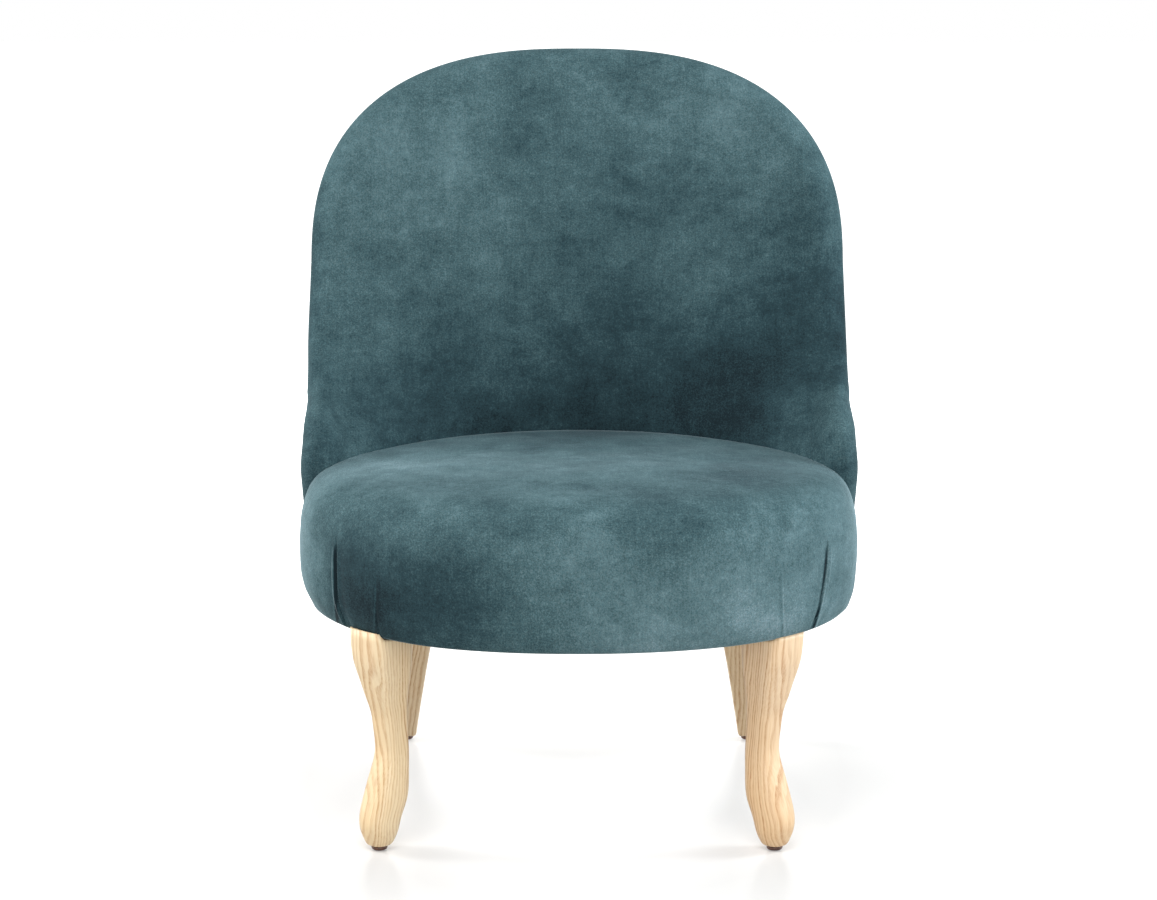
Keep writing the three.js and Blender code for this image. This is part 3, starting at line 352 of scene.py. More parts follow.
VELVET_ALONG = (640, 2, 0.75, 0, (0.03, 1, 0.03), (0, 0.2, 0))
VELVET_TONES = (
    (0.12, (20, 35, 41)), (0.34, (40, 64, 71)), (0.52, (66, 94, 100)),
    (0.68, (91, 121, 128)), (0.86, (121, 149, 158)),
)
VELVET_SIDEWAYS = (0.6, 0.85)  # where the threads turn, by how far sideways a face looks
VELVET_SHEEN = (190, 212, 220)
VELVET_GREY = (1.28, 1.0, 0.93, 1)
VELVET_HUE = (640, 2, 0.6)
VELVET_HUE_PART = (0.35, 0.7)
VELVET_HUE_SHARE = 0.6
VELVET_RELIEF = (("speckle", 0.3), ("threads", 0.25), ("brushed", 0.9))
VELVET_BUMP = (0.3, 0.0012)  # strength, and depth in metres
ASH_RING = 3.6
# Marks along an ash leg's grain: scale, detail, roughness, stretch and shift of their noise, the
# part of it that counts, and what that gives where it isn't 0 to 1.
ASH_MARKS = {
    "wander": ((21, 3, 0.5, 0.3, 0), ()),
    "ripple": ((75, 2, 0.5, 0.2, 0.4), ()),
    "pores": ((1300, 2, 0.6, 0.07, 0), (0.46, 0.62)),
    "tone": ((11, 3, 0.5, 0.35, 0.2), (0.35, 0.68)),
    "fibre": ((700, 3, 0.65, 0.02, 0), (0.42, 0.75, 0, 0.5)),
    "knot": ((34, 1, 0.5, 0.6, 0.9), (0.76, 0.84)),
}
ASH_WANDER = 0.022  # how far the rings wander and ripple, in metres
ASH_RIPPLE = 0.0016
ASH_YEARS = (1.7, 1, 0.5)  # noise from ring to ring
ASH_YEARS_PART = (0.35, 0.65, 0.4, 1.15)
ASH_YEARS_SHIFT = 3.7
ASH_PORES = (0.62, 0.5)  # darkness of a ring without pores, and what they add
ASH_BAND_SHARE = 0.85
ASH_KNOT_SHARE = 0.7
ASH_GLOSS = (0.42, 0.62)  # roughness between the rings and in them
ASH_BUMP = (0.4, 0.0004)
# How the growth rings stand in each leg: to the side, to the back and up.
ASH_CUTS = ((0.95, 0.35, 0.035), (0.9, -0.5, -0.03), (0.8, 0.6, 0.02), (0.95, 0.3, -0.03))
ASH_TINTS = (
    (0.95, 0.945, 0.93, 1), (0.91, 0.82, 0.77, 1), (0.96, 0.925, 0.89, 1), (0.95, 0.9, 0.86, 1),
)
ASH_SHIFT = (0.137, 0.071, 0.29)  # from leg to leg
ASH_YEAR = ((0, 0.3), (0.08, 1), (0.34, 0.75), (0.6, 0.16), (1, 0.12))  # darkness over a ring
ASH_PALE = ((246, 230, 198), (238, 214, 172))
ASH_FIBRE = (218, 182, 134)
ASH_BAND = (188, 140, 92)
ASH_KNOT = (168, 108, 62)
GRAIN_FOLLOWS = 0.85  # how closely the grain follows a leg's bend
# Finishes with one kind of marks: their noise, the part of it that counts, the two colours, the
# gloss (a roughness, or the marks' part and the roughness there) and the relief's strength and
# depth in metres.
PLAIN_FINISHES = {
    "nylon": (
        (260, 4, 0.65), (0.4, 0.7), ((74, 44, 34), (108, 72, 54)), (0.35, 0.7, 0.28, 0.5), (0.12, 0.0004),
    ),
    "beech": (
        (190, 3, 0.6, 0.2, (0.12, 1, 1)), (0.35, 0.7), ((214, 180, 140), (193, 152, 110)), 0.62,
        (0.2, 0.0006),
    ),
    "board": ((150, 5, 0.7), (0.35, 0.7), ((128, 117, 103), (158, 146, 130)), 0.9, (0.2, 0.0005)),
    "steel": (
        (700, 3, 0.6, 0, (1, 1, 0.1)), (0.3, 0.7), ((150, 152, 154), (186, 188, 190)),
        (0.3, 0.7, 0.3, 0.48), (0.1, 0.0002),
    ),
}
METALS = ("steel",)
BEECH_FLECKS = (620, 2, 0.5, 0, (0.35, 1, 1))
BEECH_FLECKS_PART = (0.62, 0.72)
BEECH_FLECK = (150, 106, 70)
BEECH_FLECK_SHARE = 0.5
WEAVES = {
    # light and dark threads, and their pitch
    "jute": ((196, 166, 118), (140, 112, 74), 3.2),
    "hessian": ((190, 158, 112), (128, 100, 66), 2.1),
    "cambric": ((52, 54, 57), (24, 25, 28), 1.1),
}
WEAVE_RISE = 0.7  # how the threads go on over an edge
WEAVE_SHARE = 0.3
WEAVE_MARKS = (330, 3, 0.6)
WEAVE_PART = (0.1, 0.9)
WEAVE_BUMP = (0.5, 0.0005)
FLOOR_MARKS = (3, 2, 0.5)
# Words in the names of the nodes that keep their shape, by finish.
SHOWN_NODES = {
    "beech": ("rail", "corner_block", "back_stile", "back_upright"),
    "board": ("panel",),
    "steel": ("bolt", "nut"),
}


def smoothstep(low, high, at):
    w = np.clip((at - low) / (high - low), 0, 1)
    return w * w * (3 - 2 * w)


def bell(away, reach):
    return np.exp(-((away / reach) ** 2))


def monotone(xs, ys, at):
    """A smooth line through the given places that doesn't swing past them."""
    at = np.asarray(at, float)
    step = np.diff(xs)
    slope = np.diff(ys) / step
    tangent = np.zeros(len(xs))
    same = slope[:-1] * slope[1:] > 0
    ahead = 2 * step[1:] + step[:-1]
    behind = step[1:] + 2 * step[:-1]
    with np.errstate(divide="ignore", invalid="ignore"):
        mean = (ahead + behind) / (ahead / slope[:-1] + behind / slope[1:])
    tangent[1:-1] = np.where(same, mean, 0)
    tangent[[0, -1]] = slope[[0, -1]]
    k = np.clip(np.searchsorted(xs, at) - 1, 0, len(step) - 1)
    t = np.clip((at - xs[k]) / step[k], 0, 1)
    return (
        ys[k] * (1 + 2 * t) * (1 - t) ** 2
        + step[k] * tangent[k] * t * (1 - t) ** 2
        + ys[k + 1] * t * t * (3 - 2 * t)
        + step[k] * tangent[k + 1] * t * t * (t - 1)
    )


def smooth(table, at):
    """The natural cubic splines through a table's other columns, at a value of its first."""
    xs, ys = table[:, 0], table[:, 1:]
    step = np.diff(xs)
    slope = np.diff(ys, axis=0) / step[:, None]
    system = np.eye(len(xs))
    wanted = np.zeros_like(ys)
    for k in range(1, len(xs) - 1):
        system[k, k - 1:k + 2] = step[k - 1], 2 * (step[k - 1] + step[k]), step[k]
        wanted[k] = 6 * (slope[k] - slope[k - 1])
    bend = np.linalg.solve(system, wanted)
    k = np.clip(np.searchsorted(xs, at) - 1, 0, len(xs) - 2)
    a, b = xs[k + 1] - at, at - xs[k]
    return (
        (bend[k] * a ** 3 + bend[k + 1] * b ** 3) / (6 * step[k])
        + (ys[k] / step[k] - bend[k] * step[k] / 6) * a
        + (ys[k + 1] / step[k] - bend[k + 1] * step[k] / 6) * b
    )


def lumps(points, kinds):
    """The unevenness of the stuffing at the given places."""
    total = 0
    for size, height, seed in kinds:
        shift = Vector([seed * apart for apart in LUMP_SHIFT])
        total = total + height * np.array([noise.noise(Vector(p) / size + shift) for p in points])
    return total


def plan_of(node):
    """Where the middle of a node stands, seen from above."""
    middle = middle_of(node)
    return np.array((middle.x, middle.y - FEET_LINE))


def placed(points):
    """Chair millimetres to the frame's metres."""
    points = np.asarray(points, float).reshape(-1, 3)
    return (points + (0, FEET_LINE, 0)) * MM


def add_object(name, data):
    made = bpy.data.objects.new(name, data)
    bpy.context.scene.collection.objects.link(made)
    return made


def make_piece(name, points, faces, material):
    mesh = bpy.data.meshes.new(name)
    mesh.from_pydata(placed(points).tolist(), [], [tuple(int(i) for i in f) for f in faces])
    mesh.update()
    mesh.shade_smooth()
    mesh.materials.append(material)
    return add_object(name, mesh)


def dress(piece, slot, *nodes):
    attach(piece, "root")
    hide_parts(*nodes)


def grid_faces(rows, columns, closed=False, start=0, turned=False):
    faces = []
    for i in range(rows - 1):
        for j in range(columns if closed else columns - 1):
            k = (j + 1) % columns
            a = start + i * columns
            face = (a + j, a + k, a + columns + k, a + columns + j)
            faces.append(face[::-1] if turned else face)
    return faces


def border_edges(faces):
    """The edges that only one face has, in the order of the faces."""
    edges = dict.fromkeys(edge for face in faces for edge in zip(face, face[1:] + face[:1]))
    return [edge for edge in edges if edge[::-1] not in edges]


def closed_between(outer, inner, faces):
    """A closed body from two sheets with the same faces, joined round their open border."""
    count = len(outer)
    made = faces + [tuple(i + count for i in face[::-1]) for face in faces]
    made += [(b, a, a + count, b + count) for a, b in sorted(border_edges(faces))]
    return np.concatenate([outer, inner]), made


def lofted(rings):
    """A closed body through rings of (plan, height), from the bottom of one end to the other."""
    points = np.concatenate([
        np.column_stack([plan, np.broadcast_to(z, len(plan))]) for plan, z in rings
    ])
    columns = len(rings[0][0])
    last = (len(rings) - 1) * columns
    ends = [tuple(range(columns))[::-1], tuple(range(last, last + columns))]
    return points, grid_faces(len(rings), columns, closed=True) + ends


def summed(step):
    """The running length at the places that lie these steps apart."""
    return np.concatenate([[0], np.cumsum(step)])


def stations(length, coarse, finer=()):
    """Places along a line, a coarse step apart, and closer round the finer places."""
    at = [0.0]
    while at[-1] < length:
        step = coarse
        for place, reach, fine in finer:
            step = min(step, fine + STEP_GROWTH * max(abs(at[-1] - place) - reach, 0))
        at.append(at[-1] + step)
    at = np.array(at)
    return at * length / at[-1]


# Seat.


def seat_outline():
    """A fine closed line round the seat, seen from above, from the left side by the front, and
    the running length at its points."""
    turn = np.linspace(-math.pi / 2, math.pi / 2, OUTLINE_POINTS)
    power = 2 / SEAT_ROUNDNESS
    s = np.sign(turn) * np.abs(np.sin(turn)) ** power
    c = np.maximum(np.cos(turn), 0) ** power
    front = np.stack([SEAT_HALF_WIDTH * s, SEAT_WIDEST_Y - SEAT_FRONT_DEPTH * c], 1)
    turn = np.linspace(math.pi / 2, -math.pi / 2, OUTLINE_POINTS)
    rear_y = SEAT_WIDEST_Y + SEAT_SIDE_LENGTH + SEAT_REAR_DEPTH * np.cos(turn)
    rear = np.stack([SEAT_HALF_WIDTH * np.sin(turn), rear_y], 1)
    line = np.concatenate([front, rear, front[:1]])
    step = np.linalg.norm(np.diff(line, axis=0), axis=1)
    keep = np.concatenate([[True], step > SAME_PLACE])
    return line[keep], summed(step)[keep]


SEAT_LINE, SEAT_RUN = seat_outline()


def on_outline(at):
    """Places on the seat's outline at running lengths, and their outward directions."""
    def point(u):
        u = np.mod(u, SEAT_RUN[-1])
        return np.stack([np.interp(u, SEAT_RUN, SEAT_LINE[:, k]) for k in (0, 1)], 1)

    ahead = point(at + OUTLINE_LOOK) - point(at - OUTLINE_LOOK)
    ahead /= np.linalg.norm(ahead, axis=1)[:, None]
    return point(at), np.stack([ahead[:, 1], -ahead[:, 0]], 1)


def inside_outline(inset):
    """A closed line round the seat, a given distance inside its outline."""
    point, out = on_outline(stations(SEAT_RUN[-1], OUTLINE_STEP)[:-1])
    return point - out * inset


def run_of_front_x(x):
    """The running length at which the front of the outline passes x."""
    half = len(SEAT_RUN) // 2
    return float(np.interp(x, SEAT_LINE[:half, 0], SEAT_RUN[:half]))


def crown_height(x, y):
    side = (x / SEAT_HALF_WIDTH) ** 2
    front = np.maximum(SEAT_CROWN_Y - y, 0) / (SEAT_CROWN_Y - SEAT_WIDEST_Y + SEAT_FRONT_DEPTH)
    return SEAT_CROWN_HEIGHT - SEAT_SIDE_FALL * side - SEAT_FRONT_FALL * front ** 2


def corner_inset(x):
    """How much more the lower left corner is drawn in at x."""
    return CORNER_DRAWN_IN * smoothstep(*CORNER_SIDE, -x)


def shoulder_rows():
    """Inset and height share of the rows from the lower edge to the crown."""
    typical = SEAT_CROWN_HEIGHT - SEAT_SIDE_FALL - SEAT_UNDERSIDE
    inset = SHOULDER[:, 0] * SEAT_DRAWN_IN + SHOULDER[:, 1] * SHOULDER_INSET
    height = SHOULDER[:, 2]
    run = summed(np.hypot(np.diff(inset), np.diff(height) * typical))
    at = np.linspace(0, run[-1], SHOULDER_ROWS)
    return monotone(run, inset, at), monotone(run, height, at)


def fold_line(x, drift, height):
    """x of a pleat or crease at a share of the seat's height."""
    return x - math.copysign(1, x) * drift * (1 - height) ** FOLD_CURVE


def columns_at(at, share):
    """Plan and outward direction of the seat's columns, which follow the folds, at a share of
    the height."""
    moved = at.copy()
    for x, drift in (*PLEATS["lines"], *CREASES["lines"]):
        upper = run_of_front_x(x)
        lower = run_of_front_x(fold_line(x, drift, share))
        moved += (lower - upper) * bell(at - upper, FOLD_REACH)
    plan, out = on_outline(moved)
    return plan + out * (RIGHT_FULLNESS * smoothstep(*RIGHT_SIDE, plan[:, 0]))[:, None], out


def fold_depth(at, share):
    """How far the folds are sunk at the seat's columns, at a share of the height."""
    depth = np.zeros(len(at))
    for folds in FOLDS:
        fade = 1 - smoothstep(*folds["fade"], share)
        for x, _ in folds["lines"]:
            outwards = (at - run_of_front_x(x)) * math.copysign(1, x)
            for place, reach, sunk in folds["form"]:
                depth += fade * sunk * bell(outwards - place, reach)
    return depth


def seat_surface():
    at = stations(SEAT_RUN[-1], SEAT_STEP, [
        (run_of_front_x(x), *folds["mesh"]) for folds in FOLDS for x, _ in folds["lines"]
    ])[:-1]
    point, normal = columns_at(at, 1)
    inset, height = shoulder_rows()
    top = point - normal * SHOULDER_INSET
    rise = crown_height(*top.T) - SEAT_UNDERSIDE
    corner = corner_inset(point[:, 0])

    def ring(inset_here, z, share=0.0):
        plan, out = columns_at(at, share)
        plan = plan - out * np.reshape(inset_here, (-1, 1))
        return np.column_stack([plan, np.broadcast_to(z, len(plan))])

    wall = RAIL_INSET - RAIL_CLEARANCE
    hem = SEAT_DRAWN_IN + corner
    turned_in = hem + HEM_WIDTH
    cover = SEAT_UNDERSIDE + COVER_THICKNESS
    rings = [
        ring(wall, FOAM_FOOT),
        ring(wall, cover + RAIL_CORNER),
        ring(wall + RAIL_CORNER, cover),
        ring(turned_in, cover),
        ring(turned_in + HEM_FOLD, SEAT_UNDERSIDE + COVER_THICKNESS / 2),
        ring(turned_in, SEAT_UNDERSIDE),
    ]
    for inwards, up in HEM_ROLL:
        rings.append(ring(hem + HEM_ROUNDING * inwards, SEAT_UNDERSIDE + HEM_ROUNDING * up))
    for k in range(1, SHOULDER_ROWS):
        drawn_in = inset[k] + corner * (1 - smoothstep(0, CORNER_HEIGHT, height[k])) ** CORNER_CURVE
        sunk = drawn_in + fold_depth(at, height[k])
        outer = ring(sunk, SEAT_UNDERSIDE + height[k] * rise, height[k])
        outer[:, :2] += normal * lumps(outer, SEAT_LUMPS)[:, None]
        rings.append(outer)
    for k in range(1, CROWN_ROWS):
        plan = top + (SEAT_MIDDLE - top) * (k / CROWN_ROWS)
        crown = np.column_stack([plan, crown_height(*plan.T)])
        crown[:, 2] += lumps(crown, SEAT_LUMPS) * min(k / CROWN_ROWS * CROWN_LUMPS_START, 1)
        rings.append(crown)
    middle = (*SEAT_MIDDLE, crown_height(*SEAT_MIDDLE))
    floor = (*SEAT_MIDDLE, FOAM_FOOT)
    columns = len(at)
    count = len(rings) * columns
    faces = grid_faces(len(rings), columns, closed=True)
    for j in range(columns):
        k = (j + 1) % columns
        faces.append((count - columns + j, count - columns + k, count))
        faces.append((k, j, count + 1))
    return np.concatenate([*rings, [middle, floor]]), faces


# Back: at each height an arc in plan, from the front edge of one wing round behind the seat
# to the other. A share of -1 to 1 says where along the arc a place lies.


def back_rear(z):
    above = np.asarray(z, float) - BACK_BEND_HEIGHT
    soft = BACK_BEND_SOFTNESS
    bent = np.where(above >= soft, above, (above + soft) ** 2 / (4 * soft))
    return BACK_REAR_Y + BACK_LEAN * np.where(above <= -soft, 0, bent)


def back_arc(z):
    """Radius, half angle and middle of the arc at a height."""
    z = np.asarray(z, float)
    arch_y = float(back_rear(ARCH_FOOT)) - ARCH_GATHER
    reach = monotone(*WING_EDGE.T, np.minimum(z, ARCH_FOOT))
    edge = WING_TIP_Y + (arch_y - WING_TIP_Y) * reach
    bow = np.where(z >= ARCH_FOOT, ARCH_GATHER, back_rear(z) - edge)
    bow = np.maximum(bow, ARCH_GATHER)
    radius = (BACK_HALF_WIDTH ** 2 + bow ** 2) / (2 * bow)
    turn = np.arcsin(BACK_HALF_WIDTH / radius)
    return radius, turn, back_rear(z) - radius


def across_arch(share):
    """How far to the side a place of the arch lies, as a share of the half width."""
    radius, turn, _ = back_arc(ARCH_FOOT + ARCH_RISE)
    return np.clip(np.abs(radius * np.sin(share * turn)) / BACK_HALF_WIDTH, 0, 1)


def arch_height(share):
    flat = (1 - across_arch(share) ** ARCH_ROUNDNESS) ** (1 / ARCH_ROUNDNESS)
    return ARCH_FOOT + ARCH_RISE * flat


def nearness(share, z):
    """How near a place on the back's sheet is to its edge: 1 there."""
    up = np.clip((z - ARCH_FOOT) / ARCH_RISE, 0, 1)
    both = across_arch(share) ** ARCH_ROUNDNESS + up ** ARCH_ROUNDNESS
    return np.clip(both, 0, 1) ** (1 / ARCH_ROUNDNESS)


def back_point(share, z, depth):
    radius, turn, middle = back_arc(z)
    angle = share * turn
    return np.stack(np.broadcast_arrays(
        (radius + depth) * np.sin(angle), middle + (radius + depth) * np.cos(angle), z,
    ), -1)


def back_outward(share, z):
    angle = share * back_arc(z)[1]
    return np.stack(np.broadcast_arrays(np.sin(angle), np.cos(angle), 0.0), -1)


def ease_at_edge(z):
    return EDGE_EASE + WING_EASE * (1 - smoothstep(*WING_EASE_HEIGHTS, z))


def fullness(share, z, side):
    """How much a face stands out from its plain arc: its crown, less what the inside padding
    thins towards its edge."""
    w = np.clip((z - INSIDE_FOOT) / np.maximum(arch_height(share) - INSIDE_FOOT, 1), 0, 1)
    crown = LUMBAR_CROWN if side < 0 else OUTSIDE_CROWN
    full = crown * (1 - share ** 2) ** CROWN_FADE * np.sin(math.pi * w ** CROWN_LOWER)
    way = np.clip((nearness(share, z) - EDGE_EASE_START) / (1 - EDGE_EASE_START), 0, 1)
    return full - (ease_at_edge(z) * way ** 2 if side < 0 else 0)


def rim_place(degrees, z, depth):
    """A place on the rim, from the inside face round to the outside: how far outwards from the
    middle of the sheet, and how far beyond its edge."""
    radius = RIM_RADIUS - depth
    if degrees >= 90:
        angle = math.radians(degrees)
        return np.full(z.shape, -(PADDING_REAR - depth) * math.cos(angle)), radius * math.sin(angle)
    front = PADDING_FRONT - ease_at_edge(z) - depth
    t = degrees / 90
    a, b, c = (1 - t) ** 3, 3 * (1 - t) ** 2 * t, 3 * (1 - t) * t * t
    handle = RIM_HANDLE * radius
    slant = 2 * ease_at_edge(z) / EDGE_EASE_LENGTH
    outwards = -front * a - (front - slant * handle) * b - front * (1 - RIM_HANDLE) * c
    return outwards, handle * b + radius * (c + t ** 3)


def arch_shares():
    """Shares of the arch's columns, evenly apart along the arch."""
    t = np.linspace(0, math.pi / 2, ARCH_POINTS)
    across = np.sin(t) ** (2 / ARCH_ROUNDNESS)
    rise = ARCH_RISE * np.cos(t).clip(0) ** (2 / ARCH_ROUNDNESS)
    run = summed(np.hypot(np.diff(across * BACK_HALF_WIDTH), np.diff(rise)))
    half = np.interp(np.linspace(0, run[-1], ARCH_COLUMNS // 2 + 1), run, across)
    radius, turn, _ = back_arc(ARCH_FOOT + ARCH_RISE)
    half = np.arcsin(half * BACK_HALF_WIDTH / radius) / turn
    half[-1] = 1
    return np.concatenate([-half[:0:-1], half])


def back_grid():
    """Share and height of each place of the back's sheet, rows from the foot up, with a few
    close ones for the rounded foot."""
    share = arch_shares()
    rows = np.concatenate([FOOT_ROWS, np.linspace(FOOT_ROWS[-1], 1, BACK_ROWS)[1:]])[:, None]
    z = SEAT_UNDERSIDE + rows * (arch_height(share) - SEAT_UNDERSIDE)
    return np.broadcast_to(share, z.shape), z


def foot_rounding(z):
    """How far the surface is drawn in towards the lower edge and by its rounding."""
    below = np.clip(HEM_ROUNDING - (z - SEAT_UNDERSIDE), 0, HEM_ROUNDING)
    rounding = HEM_ROUNDING - np.sqrt(HEM_ROUNDING ** 2 - below ** 2)
    return rounding + FOOT_DRAWN_IN * (1 - smoothstep(0, FOOT_HEIGHT, z - SEAT_UNDERSIDE))


def rim_path():
    """The places round the edge of the back's sheet: their numbers in the grid, where they lie
    and their outward and edge directions."""
    share, z = back_grid()
    top, last = share.shape[0] - 1, share.shape[1] - 1
    i = np.concatenate([np.arange(top), np.full(last + 1, top), np.arange(top)[::-1]])
    j = np.concatenate([np.zeros(top, int), np.arange(last + 1), np.full(top, last)])
    middle = back_point(share[i, j], z[i, j], 0)
    out = back_outward(share[i, j], z[i, j])
    along = np.empty_like(middle)
    along[1:-1] = middle[2:] - middle[:-2]
    along[0] = middle[1] - middle[0]
    along[-1] = middle[-1] - middle[-2]
    # Up to the foot of the padding the rim stands upright, and then it turns with its edge.
    turning = smoothstep(INSIDE_FOOT, INSIDE_FOOT + RIM_TURNING, middle[:, 2])[:, None]
    along /= np.linalg.norm(along, axis=1)[:, None]
    upright = np.zeros_like(along)
    upright[:, 2] = np.sign(along[:, 2])
    along = upright + (along - upright) * turning
    over = np.cross(along, out)
    over /= np.linalg.norm(over, axis=1)[:, None]
    return (i * share.shape[1] + j).tolist(), middle, out, over


def back_sheet(side, face_depth, rim):
    """One sheet of the back: its face, then rings round its rim. rim gives how far outwards and
    beyond the edge each lies, for the heights of its places."""
    share, z = back_grid()
    sheets = [back_point(share, z, face_depth(share, z)).reshape(-1, 3)]
    faces = grid_faces(*share.shape, turned=side > 0)
    near, middle, out, over = rim_path()
    count = share.size
    for outwards, beyond in rim(middle[:, 2]):
        sheets.append(middle + out * np.reshape(outwards, (-1, 1)) + over * np.reshape(beyond, (-1, 1)))
        far = list(range(count, count + len(near)))
        for quad in zip(near, near[1:], far[1:], far):
            faces.append(quad if side < 0 else quad[::-1])
        near = far
        count += len(far)
    return np.concatenate(sheets), faces


def flared(points):
    """The back's outer points, moved sideways by the flare and the sway at their height."""
    out = monotone(*SIDE_FLARE.T, points[:, 2])
    edge = smoothstep(FLARE_FROM, 1, np.abs(points[:, 0]) / (BACK_HALF_WIDTH + RIM_RADIUS))
    points = points.copy()
    points[:, 0] += np.sign(points[:, 0]) * out * edge
    points[:, 0] += monotone(*SIDE_SWAY.T, points[:, 2])
    return points


def smoothed(points, faces, angles):
    """Eases the edge of the wings: each place moves towards the middle of its neighbours, less
    so away from the edge. angles are those of the rim's rings, from the inside face."""
    near = smoothstep(*SMOOTHED_FROM, nearness(*back_grid())).ravel() * (angles[0] < 90)
    round_rim = 1 - smoothstep(*SMOOTHED_TO, angles)
    weight = np.concatenate([near, np.repeat(round_rim, len(rim_path()[0]))])
    weight *= 1 - smoothstep(*WING_EASE_HEIGHTS, points[:, 2])
    weight *= smoothstep(*(SEAT_UNDERSIDE + above for above in SMOOTHED_ABOVE), points[:, 2])
    edges = np.array([edge for face in faces for edge in zip(face, face[1:] + face[:1])])
    edges = np.unique(np.sort(edges, axis=1), axis=0)
    degree = np.bincount(edges.ravel(), minlength=len(points))[:, None]
    points = points.copy()
    for _ in range(EDGE_SMOOTHING):
        total = np.zeros_like(points)
        np.add.at(total, edges[:, 0], points[edges[:, 1]])
        np.add.at(total, edges[:, 1], points[edges[:, 0]])
        points += (total / degree - points) * (weight[:, None] * EDGE_SMOOTHING_STEP)
    return points


def back_body(side):
    """The padding and cover of the inside, side -1, or the outside, side 1."""
    own = PADDING_FRONT if side < 0 else PADDING_REAR
    own_inner, other_inner = (INNER_FRONT, INNER_REAR) if side < 0 else (INNER_REAR, INNER_FRONT)
    seam = SEAM_ANGLE if side < 0 else 180 - SEAM_ANGLE
    close = seam - SEAM_GAP - SEAM_STEPS
    angles = np.concatenate([np.arange(RIM_STEP, close[0] - RIM_STEP / 2, RIM_STEP), close])

    def outer_rim(z):
        drawn_in = foot_rounding(z)
        for degrees in angles:
            angle = math.radians(degrees)
            dip = SEAM_DIP * bell(seam - degrees, SEAM_REACH)
            outwards, beyond = rim_place(degrees if side < 0 else 180 - degrees, z, dip)
            yield outwards - side * drawn_in * math.cos(angle), beyond - drawn_in * math.sin(angle)

    def inner_rim(z):
        for degrees in angles:
            angle = math.radians(degrees)
            level = own_inner if degrees < 90 else other_inner
            if (degrees < 90) == (side < 0):
                level = np.minimum(level, PADDING_FRONT - ease_at_edge(z) - FOAM_LEAST)
            yield np.full(z.shape, side * level * math.cos(angle)), INNER_RIM * math.sin(angle)

    outer, faces = back_sheet(
        side, lambda share, z: side * (own + fullness(share, z, side) - foot_rounding(z)), outer_rim
    )
    inner, _ = back_sheet(
        side,
        lambda share, z: side * np.minimum(own_inner, own + fullness(share, z, side) - FOAM_LEAST),
        inner_rim,
    )
    outer = flared(smoothed(outer, faces, angles if side < 0 else 180 - angles))
    foot = SEAT_UNDERSIDE, SEAT_UNDERSIDE + LUMPS_ABOVE
    outer[:, 1] += side * lumps(outer, BACK_LUMPS) * smoothstep(*foot, outer[:, 2])
    return closed_between(outer, inner, faces)


def back_form(depth):
    """The whole back as one closed body, a given depth below its surface."""
    angles = np.arange(RIM_STEP, 180, RIM_STEP)
    points, faces = back_sheet(
        -1,
        lambda share, z: -(PADDING_FRONT + fullness(share, z, -1) - depth),
        lambda z: (rim_place(degrees, z, depth) for degrees in angles),
    )
    points = smoothed(points, faces, angles)
    share, z = back_grid()
    count = len(points)
    rear = back_point(share, z, PADDING_REAR + fullness(share, z, 1) - depth).reshape(-1, 3)
    points = flared(np.concatenate([points, rear]))
    faces += grid_faces(*share.shape, start=count, turned=True)
    border = [count + place for place in rim_path()[0]]
    last = range(count - len(border), count)
    faces += list(zip(last, last[1:], border[1:], border))
    open_next = {b: a for a, b in border_edges(faces)}
    loop = [next(iter(open_next))]
    while open_next[loop[-1]] != loop[0]:
        loop.append(open_next[loop[-1]])
    points[:, 2] -= np.where(points[:, 2] <= SEAT_UNDERSIDE + SAME_LEVEL, CUT_BELOW, 0)
    return points, faces + [tuple(loop)]


def rail_prism():
    """The room that the rails and the seat take within the back's foot."""
    plan = inside_outline(RAIL_INSET - RAIL_CLEARANCE)
    return lofted([(plan, SEAT_UNDERSIDE - PRISM_BELOW), (plan, INSIDE_FOOT)])


# Legs and glides.


def circle(middle, radius, start=0.0):
    t = LEG_TURNS + start
    return np.column_stack([middle[0] + radius * np.cos(t), middle[1] + radius * np.sin(t)])


def section(middle, half, squareness, start):
    """A square with rounded corners and sides. half is half its width, or half its diagonal
    where it starts on a corner."""
    across, along = np.abs(np.cos(LEG_TURNS)), np.abs(np.sin(LEG_TURNS))
    reach = (across ** squareness + along ** squareness) ** (-1 / squareness)
    if start:
        reach = reach / 2 ** (0.5 - 1 / squareness)
    return circle(middle, half * reach, start)


def leg_top(plan):
    """Heights of a front leg's top, which follows the roll of the cover's lower edge."""
    inset = np.linalg.norm(plan[:, None] - SEAT_LINE[::OUTLINE_EVERY], axis=2).min(axis=1)
    beyond = SEAT_DRAWN_IN + corner_inset(plan[:, 0]) + HEM_ROUNDING * 2 - inset
    return LEG_TOP + np.interp(beyond, *LEG_TOP_RISE.T)


